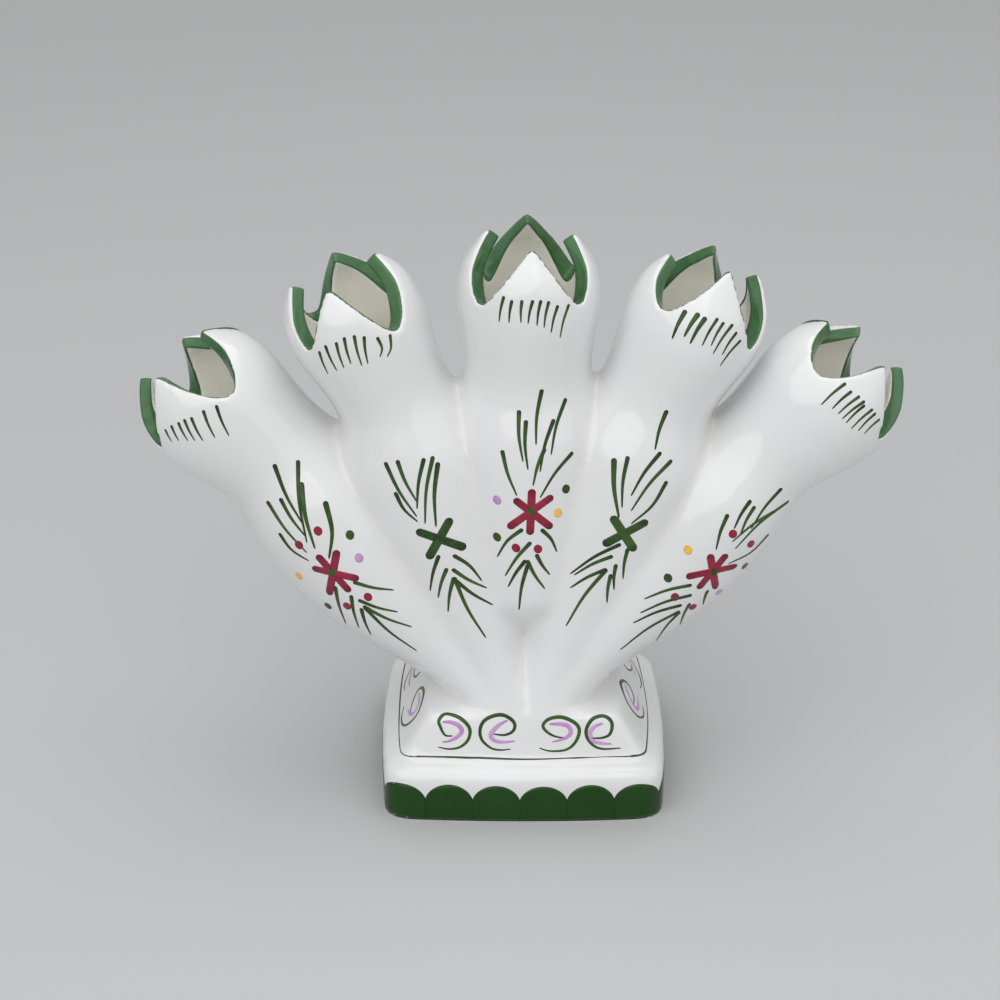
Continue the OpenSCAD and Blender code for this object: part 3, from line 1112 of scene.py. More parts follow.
@dataclass(frozen=True)
class Stroke:
    """One touch of the brush, by the points of the picture that it passes, with its greatest width.

    The stroke lies over as many others as its value of over says.
    """

    path: tuple[Pixel, ...]
    width: float
    press: Press
    bow: float = 0.0
    over: int = 0

    def line(self) -> list[Vector]:
        """Smooth line of the stroke in the picture.

        Returns:
            Points along the line, ten in each span of the path.
        """
        steps = 10
        points = [Vector(point) for point in self.path]
        if len(points) == 2:
            way = points[1] - points[0]
            middle = (points[0] + points[1]) / 2 + Vector((-way.y, way.x)) * self.bow
            points.insert(1, middle)
        ends = [points[0] * 2 - points[1], *points, points[-1] * 2 - points[-2]]
        line: list[Vector] = []
        for a, b, c, d in zip(ends, ends[1:], ends[2:], ends[3:]):
            for i in range(steps):
                u = i / steps
                curve = 2 * b + (c - a) * u + (2 * a - 5 * b + 4 * c - d) * u * u
                line.append((curve + (3 * b - a - 3 * c + d) * u ** 3) / 2)
        return [*line, points[-1]]

    def half_width(self, share: float, length: float) -> float:
        """Half the width at a share of the stroke.

        Args:
            share: Share of the way along.
            length: Length of the stroke, in the units of the width.

        Returns:
            The half width there.
        """
        thin = 0.3
        leaf_taper = 0.75
        curl_swell = 0.8
        least_dab = 0.004
        least_end = 0.01
        half = self.width / 2
        if self.press is Press.DAB:
            return half * math.sqrt(max(1 - (2 * share - 1) ** 2, least_dab))
        body = 1.0
        if self.press is Press.LEAF:
            body = thin + (1 - thin) * (1 - share) ** leaf_taper
        if self.press is Press.CURL:
            body = thin + (1 - thin) * math.sin(math.pi * share ** curl_swell)
        near = min(share, 1 - share) * length / half
        return half * body * math.sqrt(max(1 - (1 - min(near, 1.0)) ** 2, least_end))


def leaf(*path: Pixel, width: float = 1.25 * MM, bow: float = 0.04) -> Stroke:
    """Leaf stroke of a sprig."""
    return Stroke(path, width, Press.LEAF, bow)


def petal(*path: Pixel, width: float = 2.2 * MM) -> Stroke:
    """Stroke of a flower or a cross."""
    return Stroke(path, width, Press.EVEN)


def dot(middle: Pixel, width: float = 2.4 * MM, over: int = 0) -> Stroke:
    """Dab of a loose brush, leaning a little to one side.

    Args:
        middle: Middle of the dab in the picture.
        width: Its width.
        over: How many other strokes it lies over.

    Returns:
        The dab.
    """
    tilt = 0.35
    half_px = 5.0
    reach = Vector((math.sin(tilt), math.cos(tilt))) * half_px
    start = (middle[0] - reach.x, middle[1] - reach.y)
    end = (middle[0] + reach.x, middle[1] + reach.y)
    return Stroke((start, end), width, Press.DAB, over=over)


def tick(*path: Pixel, width: float = 0.95 * MM, bow: float = 0.03) -> Stroke:
    """Short stroke of the row below a mouth."""
    return Stroke(path, width, Press.LEAF, bow)


def curl(*path: Pixel, width: float = 1.1 * MM) -> Stroke:
    """Curled stroke of a scroll."""
    return Stroke(path, width, Press.CURL)


HATCH = {
    Place.OUTER_LEFT: (
        tick((216, 405), (229, 436)), tick((203, 410), (215, 438)), tick((191, 417), (203, 441)),
        tick((184, 419), (195, 441)), tick((178, 422), (188, 441)), tick((171, 425), (179, 441)),
        tick((165, 429), (172, 442)),
    ),
    Place.INNER_LEFT: (
        tick((319, 351), (328, 374)), tick((325, 345), (337, 371)), tick((336, 342), (344, 368)),
        tick((344, 337), (351, 364)), tick((354, 335), (362, 366)), tick((364, 336), (368, 364)),
        tick((377, 337), (382, 348), (380, 357)), tick((390, 334), (391, 348), (387, 357)),
    ),
    Place.CENTRE: (
        tick((504, 296), (499, 322)), tick((512, 300), (509, 323)), tick((522, 300), (521, 323)),
        tick((533, 300), (528, 324)), tick((541, 300), (537, 326)), tick((549, 301), (544, 328)),
        tick((558, 305), (551, 333)), tick((569, 304), (560, 338)),
    ),
    Place.INNER_RIGHT: (
        tick((686, 310), (672, 339), width=1.4 * MM), tick((699, 313), (684, 337), width=1.5 * MM),
        tick((706, 317), (690, 344), width=1.4 * MM),
        tick((718, 318), (702, 346)), tick((724, 322), (711, 346)), tick((733, 324), (713, 354)),
        tick((737, 332), (722, 355)), tick((741, 340), (720, 366)),
    ),
    Place.OUTER_RIGHT: (
        tick((846, 383), (821, 405)), tick((852, 391), (832, 409)), tick((860, 396), (838, 414)),
        tick((865, 401), (842, 419)), tick((865, 405), (846, 423)), tick((873, 409), (851, 429)),
        tick((876, 413), (858, 431)), tick((880, 419), (864, 434)),
    ),
}
SPRIGS = {
    Place.OUTER_LEFT: (
        leaf((274, 464), (304, 526)), leaf((267, 501), (307, 553)), leaf((280, 498), (306, 537)),
        leaf((298, 460), (307, 543)), leaf((301, 482), (315, 549), width=1.6 * MM),
        leaf((325, 501), (332, 531), (329, 559), width=1.6 * MM), leaf((279, 533), (309, 561), bow=0.09),
        leaf((335, 586), (346, 624)), leaf((351, 595), (359, 628)), leaf((353, 582), (394, 590)),
        leaf((358, 600), (398, 612)), leaf((361, 608), (371, 635)), leaf((363, 606), (412, 627)),
        leaf((364, 607), (417, 651)),
    ),
    Place.INNER_LEFT: (
        leaf((385, 462), (417, 517)), leaf((395, 492), (418, 522), bow=0.09), leaf((397, 460), (417, 502)),
        leaf((424, 458), (417, 509)), leaf((433, 456), (425, 524)),
        leaf((438, 462), (436, 527), width=1.5 * MM), leaf((439, 555), (430, 591)),
        leaf((447, 568), (438, 598)), leaf((453, 555), (482, 581), bow=-0.08),
        leaf((452, 569), (487, 588)), leaf((454, 577), (448, 612)), leaf((455, 580), (493, 605)),
        leaf((454, 577), (486, 638)),
    ),
    Place.CENTRE: (
        leaf((542, 389), (536, 445)), leaf((566, 398), (551, 455)), leaf((519, 410), (523, 462)),
        leaf((526, 420), (528, 470)), leaf((554, 419), (540, 472)), leaf((502, 450), (517, 496)),
        leaf((573, 452), (540, 498)), leaf((545, 448), (533, 486)),
        leaf((523, 529), (497, 557), bow=0.09), leaf((541, 529), (557, 552), bow=-0.09),
        leaf((531, 542), (505, 576)), leaf((536, 554), (550, 575)), leaf((526, 560), (508, 587)),
        leaf((527, 560), (545, 589)), leaf((528, 564), (519, 610)),
    ),
    Place.INNER_RIGHT: (
        leaf((667, 410), (655, 450), width=1.3 * MM), leaf((614, 458), (619, 518), width=1.7 * MM),
        leaf((628, 456), (622, 508)), leaf((661, 452), (631, 496)), leaf((672, 460), (631, 511)),
        leaf((667, 481), (631, 524), bow=-0.08), leaf((621, 544), (570, 574)), leaf((613, 556), (574, 575)),
        leaf((607, 569), (570, 588)), leaf((607, 569), (566, 626)), leaf((628, 548), (623, 579)),
        leaf((616, 564), (614, 590)), leaf((611, 574), (607, 603)),
    ),
    Place.OUTER_RIGHT: (
        leaf((728, 514), (716, 550)), leaf((751, 500), (734, 529)), leaf((755, 506), (740, 536)),
        leaf((782, 488), (751, 529)), leaf((777, 510), (732, 542)), leaf((789, 501), (735, 549)),
        leaf((769, 534), (728, 564), bow=-0.08), leaf((692, 585), (644, 599)), leaf((692, 595), (640, 613)),
        leaf((682, 605), (633, 623)), leaf((680, 611), (620, 650)), leaf((680, 612), (656, 641)),
        leaf((690, 603), (680, 625)), leaf((708, 590), (703, 605)),
    ),
}
HEARTS = {
    Place.OUTER_LEFT: (dot((332, 572), over=4),),
    Place.CENTRE: (dot((531, 511), over=4),),
    Place.OUTER_RIGHT: (dot((714, 572), over=4),),
}
MIDDLES = {
    Place.OUTER_LEFT: (
        petal((337, 550), (329, 595)), petal((317, 555), (350, 592)), petal((312, 568), (359, 579)),
    ),
    Place.INNER_LEFT: (
        petal((451, 518), (428, 559), width=2.5 * MM), petal((416, 531), (466, 548), width=2.5 * MM),
    ),
    Place.CENTRE: (
        petal((532, 489), (530, 535)), petal((514, 499), (552, 528)), petal((553, 496), (508, 528)),
    ),
    Place.INNER_RIGHT: (
        petal((648, 521), (603, 545), width=2.5 * MM), petal((612, 516), (635, 551), width=2.5 * MM),
    ),
    Place.OUTER_RIGHT: (
        petal((710, 554), (716, 589)), petal((727, 554), (698, 589)), petal((737, 566), (686, 577)),
    ),
}
DOTS = {
    "red": (
        dot((318, 531)), dot((299, 545)), dot((347, 606)), dot((368, 597)), dot((516, 548)), dot((538, 549)),
        dot((733, 534)), dot((751, 544)), dot((675, 597)), dot((693, 607)),
    ),
    "green": (
        dot((350, 535)), dot((328, 606)), dot((566, 489)), dot((497, 537)), dot((668, 578)), dot((745, 566)),
    ),
    "violet": (dot((359, 558)), dot((497, 500)), dot((719, 592))),
    "yellow": (dot((299, 576)), dot((558, 513)), dot((688, 550))),
}
GREEN_SCROLLS = (
    curl((453, 736), (445, 735), (440, 726), (439, 720), (445, 714), (456, 716), (465, 722), (470, 730),
         (468, 740), (460, 747), (449, 749), (438, 747)),
    curl((493, 734), (504, 735), (512, 732), (515, 726), (512, 720), (503, 715), (493, 716), (484, 721),
         (480, 730), (482, 740), (491, 748), (501, 750), (511, 749)),
    curl((564, 738), (554, 736), (546, 731), (543, 725), (549, 719), (560, 717), (570, 720), (578, 726),
         (579, 734), (574, 744), (565, 750), (550, 751), (539, 748)),
    curl((591, 738), (601, 738), (609, 735), (612, 728), (611, 721), (604, 716), (594, 718), (588, 725),
         (586, 733), (589, 741), (596, 747), (605, 749), (621, 748)),
)
VIOLET_SCROLLS = (
    curl((442, 722), (450, 722), (458, 725), (462, 731), (457, 737), (449, 741), (442, 742), width=1.3 * MM),
    curl((508, 720), (499, 725), (492, 732), (491, 737), (496, 741), (505, 742), (515, 741), width=1.3 * MM),
    curl((549, 724), (560, 724), (568, 726), (571, 732), (567, 737), (560, 740), (552, 742), width=1.3 * MM),
    curl((603, 723), (594, 727), (590, 733), (592, 740), (600, 743), (612, 744), width=1.3 * MM),
)


@dataclass
class ClayBody:
    """The glazed clay: five fingers and a plinth, melted into one skin and then parted along the seams."""

    fingers: Sequence[Finger]
    plinth: Plinth
    groove_voxel: float = 0.85 * MM
    hollow_voxel: float = 1.0 * MM
    skin_voxel: float = 0.75 * MM
    groove_relax: int = 32
    hollow_relax: int = 6
    edge_relax: int = 4
    groove_low: float = 76.0 * MM
    groove_high: float = 94.0 * MM
    crotch_softness: float = 0.3
    groove_shade_relax: int = 60
    groove_shade_depth: float = 1.1 * MM
    cut_face_turn: float = 0.5
    past_vase: float = 4.0

    def __post_init__(self) -> None:
        """Build the whole skin and note its normals, how deep each point lies in a groove for the painted
        shade, and its inside.
        """
        self.skin = self.outside()
        shell = skin_tree(self.skin)
        hollow = self.hollow()
        lining = skin_tree(hollow)
        carve(self.skin, hollow, "DIFFERENCE")
        carve(self.skin, self.lids(), "DIFFERENCE")
        unite(self.skin, self.skin_voxel)
        relax(self.skin, self.edge_relax)
        self.tree = skin_tree(self.skin)
        mesh = self.skin.data
        self.normals = [vert.normal.copy() for vert in mesh.vertices]
        self.groove_shades = self.groove_shading()
        self.inside = [
            lining.find_nearest(vert.co)[3] < shell.find_nearest(vert.co)[3] for vert in mesh.vertices
        ]
        self.near = KDTree(len(mesh.vertices))
        for vert in mesh.vertices:
            self.near.insert(vert.co, vert.index)
        self.near.balance()

    def outside(self) -> Object:
        """Melt the blanks into one skin with soft grooves.

        Returns:
            The skin.
        """
        bm = bmesh.new()
        for finger in self.fingers:
            finger.blank(bm)
        self.plinth.blank(bm)
        skin = to_object("skin", bm)
        unite(skin, self.groove_voxel)
        relax(skin, self.groove_relax, self.softness)
        return skin

    def softness(self, place: Vector) -> float:
        """Share of the softening at a place, least where the fingers part.

        Args:
            place: Point of the skin.

        Returns:
            The share.
        """
        along = (place - self.fingers[0].axis.translation).length
        share = (along - self.groove_low) / (self.groove_high - self.groove_low)
        return ease(1.0, self.crotch_softness, share)

    def hollow(self) -> Object:
        """Melt the hollows of the fingers and the plinth into one.

        Returns:
            The hollow as a solid.
        """
        bm = bmesh.new()
        for finger in self.fingers:
            part = finger.hollow()
            mesh = bpy.data.meshes.new("hollow_part")
            part.to_mesh(mesh)
            part.free()
            bm.from_mesh(mesh)
            bpy.data.meshes.remove(mesh)
        self.plinth.hollow(bm)
        hollow = to_object("hollow", bm)
        unite(hollow, self.hollow_voxel)
        relax(hollow, self.hollow_relax)
        return hollow

    def block(self, bm: BMesh, middle: float, height: float) -> None:
        """Draw a block that reaches well past the foot on every side.

        Args:
            bm: Mesh to draw it in.
            middle: Height of its middle.
            height: How tall it is.
        """
        wide = self.plinth.half_foot.x * self.past_vase
        size = Matrix.Diagonal((wide, wide, height, 1.0))
        bmesh.ops.create_cube(bm, size=1.0, matrix=Matrix.Translation((0.0, 0.0, middle)) @ size)

    def lids(self) -> Object:
        """Draw what is cut away above all the mouths and below the foot.

        Returns:
            The lids and the block as one object.
        """
        bm = bmesh.new()
        for finger in self.fingers:
            finger.lid(bm)
        deep = self.plinth.past * self.past_vase
        self.block(bm, -self.plinth.sole - deep / 2, deep)
        return to_object("lids", bm)

    def below(self) -> BMesh:
        """Draw the solid that holds the plinth.

        Returns:
            The solid in a mesh of its own.
        """
        bm = bmesh.new()
        self.block(bm, self.plinth.top / 2, self.plinth.top)
        return bm

    def groove_shading(self) -> list[float]:
        """Measure how far each point lies in a groove, for the painted shade there.

        Returns:
            A share from 0 to 1 for each point of the skin.
        """
        copy = shown("soft_copy", self.skin.data.copy())
        relax(copy, self.groove_shade_relax)
        shares = [
            min(max((soft.co - vert.co).dot(normal) / self.groove_shade_depth, 0.0), 1.0)
            for soft, vert, normal in zip(copy.data.vertices, self.skin.data.vertices, self.normals)
        ]
        discard(copy)
        return shares

    def part(self, name: str, cutter: BMesh, finishes: Finishes) -> Object:
        """Take one piece of the skin.

        Args:
            name: Name of the piece.
            cutter: Solid that holds the piece's share of the skin.
            finishes: Materials.

        Returns:
            The dressed piece.
        """
        piece = shown(name, self.skin.data.copy())
        carve(piece, to_object("cutter", cutter), "INTERSECT")
        self.dress(piece, finishes)
        return piece

    def dress(self, piece: Object, finishes: Finishes) -> None:
        """Give a piece its materials, its painted shade in the grooves and the whole skin's normals.

        Args:
            piece: Piece of the skin.
            finishes: Materials.
        """
        mesh = piece.data
        mesh.materials.clear()
        mesh.materials.append(finishes.white)
        mesh.materials.append(finishes.lit_ivory)
        found = [self.near.find(vert.co)[1] for vert in mesh.vertices]
        # Painted shade: each point carries how deep in a groove it lies, which darkens the glaze there.
        groove_shade = mesh.attributes.new("groove_shade", "FLOAT", "POINT")
        groove_shade.data.foreach_set("value", [self.groove_shades[index] for index in found])
        loops: list[Vector] = [Vector((0.0, 0.0, 1.0))] * len(mesh.loops)
        for face in mesh.polygons:
            face.use_smooth = True
            # Faces inside the hollow take the lighter ivory glaze, which is painted light there.
            inner = sum(self.inside[found[index]] for index in face.vertices)
            face.material_index = 1 if inner * 2 > len(face.vertices) else 0
            mean = sum((self.normals[found[index]] for index in face.vertices), Vector())
            flat = mean.dot(face.normal) < self.cut_face_turn * mean.length
            for loop, index in zip(face.loop_indices, face.vertices):
                loops[loop] = face.normal.copy() if flat else self.normals[found[index]]
        mesh.normals_split_custom_set(loops)


@dataclass
class Painter:
    """Lays thin layers of enamel on the glazed skin, by strokes that the camera places."""

    tree: BVHTree
    camera: StudioCamera
    lift: float = 0.07 * MM
    layer: float = 0.02 * MM
    depth: float = 0.16 * MM
    edge_fall: float = 0.6
    across: int = 4
    least_columns: int = 6
    row: float = 0.45 * MM
    end_power: int = 2
    clear_of_vase: float = 60.0 * MM
    end_drop: float = 1.3 * MM
    end_spread: float = 1.13
    count: int = 0

    def on_skin(self, guess: Vector) -> SkinPoint:
        """Find the skin next to a point."""
        place, normal, _, _ = self.tree.find_nearest(guess)
        return place, normal

    def above(self, point: Vector) -> Vector:
        """Move a point of the enamel out until it lies clear of the skin."""
        place, normal = self.on_skin(point)
        return point + normal * max(self.lift - (point - place).dot(normal), 0.0)

    def touch(self, pixel: Pixel) -> SkinPoint:
        """Find where a point of the picture lies on the skin.

        Args:
            pixel: Point of the picture.

        Returns:
            The place on the skin and its normal.
        """
        sight = self.camera.sight(pixel)
        place, normal, _, _ = self.tree.ray_cast(self.camera.eye, sight)
        if place is None:
            return self.on_skin(self.camera.eye + sight * self.camera.distance)
        return place, normal

    def sheet(
        self,
        bm: BMesh,
        grid: tuple[int, int],
        lay: Callable[[float, float], SkinPoint],
        layer: int,
        dark: float,
        power: int,
    ) -> None:
        """Lay one closed thin sheet of enamel.

        Args:
            bm: Mesh to lay it in.
            grid: Faces along the sheet and across it.
            lay: Gives the place and the normal for a share along and a share across, from -1 to 1.
            layer: How many sheets lie under this one.
            dark: How dark the enamel is at its ends.
            power: How fast it fades away from them, where 0 keeps it even.
        """
        tones = bm.verts.layers.float.get("tone") or bm.verts.layers.float.new("tone")
        darks = bm.verts.layers.float.get("ends") or bm.verts.layers.float.new("ends")
        tone = scatter(self.count)
        self.count += 1
        made = bmesh.ops.create_grid(bm, x_segments=grid[0], y_segments=grid[1], size=1.0)["verts"]
        faces = list({face for vert in made for face in vert.link_faces})
        height = self.lift + self.layer * layer
        for vert in made:
            along = (1 - math.cos(math.pi * (vert.co.x + 1) / 2)) / 2
            side = vert.co.y
            place, normal = lay(along, side)
            vert.co = place + normal * (height * (1 - self.edge_fall * side ** 4))
            vert[tones] = tone
            vert[darks] = dark * abs(2 * along - 1) ** power
        bmesh.ops.recalc_face_normals(bm, faces=faces)
        if sum(self.on_skin(face.calc_center_median())[1].dot(face.normal) for face in faces) < 0:
            bmesh.ops.reverse_faces(bm, faces=faces)
        bmesh.ops.solidify(bm, geom=faces, thickness=self.depth)

    def around(self, pixel: Pixel, quarters: int, spread: float) -> SkinPoint:
        """Find where a point painted on the plinth's front lies when it is carried to another side.

        Args:
            pixel: Point of the picture, on the front.
            quarters: Quarter turns to the other side.
            spread: How much wider the painting is there.

        Returns:
            The place on the skin and its normal.
        """
        place, normal = self.touch(pixel)
        if quarters == 0:
            return place, normal
        turn = Matrix.Rotation(quarters * math.pi / 2, 3, "Z")
        lower = self.end_drop if quarters % 2 else 0.0
        start = turn @ Vector((place.x * spread, -self.clear_of_vase, place.z - lower))
        found, normal, _, _ = self.tree.ray_cast(start, turn @ Vector((0.0, 1.0, 0.0)))
        return found, normal

    def stroke(
        self, bm: BMesh, stroke: Stroke, layer: int = 0, quarters: int = 0, spread: float = 1.0
    ) -> None:
        """Lay one stroke of the brush.

        Args:
            bm: Mesh to lay it in.
            stroke: The stroke.
            layer: How many sheets lie under it.
            quarters: Quarter turns to the plinth's side that it is carried to.
            spread: How much wider it is there.
        """
        line = stroke.line()
        spans = [(b - a).length for a, b in zip(line, line[1:])]
        length = sum(spans)
        real = length / self.camera.pixels(1.0)
        spots: dict[float, tuple[Vector, Vector, Vector]] = {}

        def spot(along: float) -> tuple[Vector, Vector, Vector]:
            """Find the stroke's middle line on the skin.

            Args:
                along: Share of the way along the stroke.

            Returns:
                The place, the way along and the normal there.
            """
            left = along * length
            index = 0
            while index < len(spans) - 1 and left > spans[index]:
                left -= spans[index]
                index += 1
            way = (line[index + 1] - line[index]).normalized()
            point = line[index] + way * min(left, spans[index])
            before, _ = self.around(tuple(point - way), quarters, spread)
            after, _ = self.around(tuple(point + way), quarters, spread)
            place, normal = self.around(tuple(point), quarters, spread)
            return place, (after - before).normalized(), normal

        def lay(along: float, side: float) -> SkinPoint:
            """Find a point of the stroke on the skin, in real lengths.

            Args:
                along: Share of the way along the stroke.
                side: Share of the half width across it.

            Returns:
                The place on the skin and its normal.
            """
            middle = 0.5 if stroke.press is Press.DAB else along
            if middle not in spots:
                spots[middle] = spot(middle)
            place, way, normal = spots[middle]
            forward = way * ((along - middle) * real)
            across = normal.cross(way) * (side * stroke.half_width(along, real))
            return self.on_skin(place + forward + across)

        columns = max(self.least_columns, round(real / self.row))
        self.sheet(bm, (columns, self.across), lay, layer + stroke.over, dark=1.0, power=self.end_power)

    def strokes(self, name: str, groups: Sequence[Sequence[Stroke]]) -> Object:
        """Lay groups of strokes.

        Args:
            name: Name of the piece.
            groups: The groups, where each stroke of a group crosses over the one before.

        Returns:
            The painted piece.
        """
        bm = bmesh.new()
        for group in groups:
            for layer, stroke in enumerate(group):
                self.stroke(bm, stroke, layer)
        return to_object(name, bm)

    def four_sides(self, name: str, strokes: Sequence[Stroke]) -> Object:
        """Lay strokes on the front of the plinth, carry them to its back and two of them to each end.

        Args:
            name: Name of the piece.
            strokes: The strokes on the front, from left to right.

        Returns:
            The painted piece.
        """
        bm = bmesh.new()
        for quarters in range(4):
            carried, spread = (strokes[1:3], self.end_spread) if quarters % 2 else (strokes, 1.0)
            for stroke in carried:
                self.stroke(bm, stroke, quarters=quarters, spread=spread)
        return to_object(name, bm)


@dataclass(frozen=True)
class FootScallops:
    """Overlapping daubs round the foot."""

    count: int = 21
    bare: float = 0.5 * MM
    valley: float = 6.6 * MM
    dip: float = 0.3 * MM
    rise: float = 6.0 * MM
    least_rise: float = 0.96
    rise_spread: float = 0.08
    rise_draw: int = 3
    first: float = -29.0 * MM
    overlap: float = 1.04
    grid: tuple[int, int] = (22, 8)
    end_power: int = 8

    def paint(self, painter: Painter, plinth: Plinth) -> Object:
        """Lay the daubs.

        Args:
            painter: Painter to lay them with.
            plinth: Plinth to lay them on.

        Returns:
            The painted piece.
        """
        outline = Outline(plinth.half_foot, plinth.corner)
        pitch = outline.girth / self.count
        low = self.valley - self.dip
        bm = bmesh.new()
        for index in range(self.count):
            middle = self.first + (index + 0.5) * pitch
            share = self.least_rise + self.rise_spread * scatter(index + self.rise_draw)
            top = self.valley + self.rise * share

            def lay(along: float, side: float) -> SkinPoint:
                """Find a point of the daub on the skin.

                Args:
                    along: Share of the way along the daub.
                    side: Share of the way up it, from -1 to 1.

                Returns:
                    The place on the skin and its normal.
                """
                bend = math.sqrt(max(1 - (2 * along - 1) ** 2, 0.0))
                crest = low + (top - self.valley + self.dip) * bend
                height = self.bare + (side + 1) / 2 * (crest - self.bare)
                walked = middle + (2 * along - 1) * pitch / 2 * self.overlap
                return painter.on_skin(outline.walk(walked, height))

            painter.sheet(bm, self.grid, lay, index % 2, dark=1.0, power=self.end_power)
        return to_object("painted_foot_scallops", bm)


@dataclass(frozen=True)
class ShoulderLine:
    """Thin line round the top of the shoulder, a little uneven as a hand leaves it."""

    rise: float = 0.2 * MM
    half_line: float = 0.5 * MM
    inset: float = 0.5 * MM
    wobble: float = 0.25 * MM
    wobble_turns: int = 9
    weight_swing: float = 0.25
    weight_turns: int = 5
    grid: tuple[int, int] = (64, 2)
    dark: float = 0.3

    def paint(self, painter: Painter, plinth: Plinth) -> Object:
        """Lay the line, one side after the other.

        Args:
            painter: Painter to lay it with.
            plinth: Plinth to lay it on.

        Returns:
            The painted piece.
        """
        level = plinth.band_h + plinth.shoulder_h + self.rise
        half = plinth.inset(plinth.half_foot - plinth.shoulder_in, self.inset)
        outline = Outline(half, plinth.panel_corner)
        bm = bmesh.new()
        for quarter in range(4):

            def lay(along: float, across: float) -> SkinPoint:
                """Find a point of one side's line on the skin.

                Args:
                    along: Share of the way along the side.
                    across: Share of the half width across the line.

                Returns:
                    The place on the skin and its normal.
                """
                walked = outline.girth * (quarter + along - 0.5) / 4
                wobble = self.wobble * math.sin(self.wobble_turns * along + quarter)
                swing = self.weight_swing * math.sin(self.weight_turns * along + 2 * quarter)
                weight = self.half_line * (1 - self.weight_swing + swing)
                return painter.on_skin(outline.walk(walked, level + wobble + across * weight))

            painter.sheet(bm, self.grid, lay, 0, dark=self.dark, power=0)
        return to_object("painted_shoulder_line", bm)


@dataclass(frozen=True)
class RimBand:
    """Green band on a mouth's cut edge."""

    margin: float = 0.6 * MM
    proud: float = 0.18 * MM
    crest: float = 1.2
    grid: tuple[int, int] = (288, 6)
    step: float = 0.004
    weld: float = 0.01 * MM
    dark: float = 0.5
    tone_turns: int = 3
    tone_shift: float = 5.0

    def paint(self, painter: Painter, finger: Finger) -> Object:
        """Lay the band.

        Args:
            painter: Painter to lay it with.
            finger: Finger whose mouth it goes round.

        Returns:
            The painted piece.
        """
        bm = bmesh.new()
        tones = bm.verts.layers.float.new("tone")
        darks = bm.verts.layers.float.new("ends")
        made = bmesh.ops.create_grid(bm, x_segments=self.grid[0], y_segments=self.grid[1], size=1.0)
        shift = self.tone_shift * scatter(finger.place.number)
        for vert in made["verts"]:
            turn = math.pi * (vert.co.x + 1)
            side = vert.co.y
            vert.co = painter.above(finger.axis @ self.spot(finger, turn, side))
            vert[tones] = 0.5 + 0.5 * math.sin(self.tone_turns * turn + shift)
            vert[darks] = abs(side) ** 3 * self.dark
        bmesh.ops.remove_doubles(bm, verts=bm.verts, dist=self.weld)
        bmesh.ops.recalc_face_normals(bm, faces=bm.faces)
        up = finger.axis.to_3x3() @ Vector((0.0, 0.0, 1.0))
        if sum(face.normal.dot(up) for face in bm.faces) < 0:
            bmesh.ops.reverse_faces(bm, faces=bm.faces)
        bmesh.ops.solidify(bm, geom=list(bm.faces), thickness=2 * self.proud)
        return to_object(f"enamelled_rim_{finger.place.value}", bm)

    def spot(self, finger: Finger, turn: float, side: float) -> Vector:
        """Point of the band, which stands proud of the cut face.

        Args:
            finger: Finger whose mouth it goes round.
            turn: Turn in radians round the finger's own axis.
            side: Share of the way across the band, from -1 inside to 1 outside.

        Returns:
            The point on the finger's own axis.
        """
        grow = (side - 1) / 2 * (finger.cut_width(turn) - self.margin) - self.margin
        out = Vector((math.cos(turn), math.sin(turn), 0.0))
        on_cut = finger.axis.inverted() @ finger.ring(finger.crown(turn), grow) @ out
        turned = math.atan2(on_cut.y, on_cut.x)
        radius = on_cut.xy.length
        on_cut.z = finger.cut(turned, radius)
        rise = finger.cut(turned + self.step, radius) - finger.cut(turned - self.step, radius)
        way = Vector((-radius * math.sin(turned), radius * math.cos(turned), rise / (2 * self.step)))
        inward = Vector((math.cos(turned), math.sin(turned), finger.fall(turned)))
        normal = inward.cross(way).normalized()
        return on_cut + normal * (self.proud * (self.crest - side ** 4))


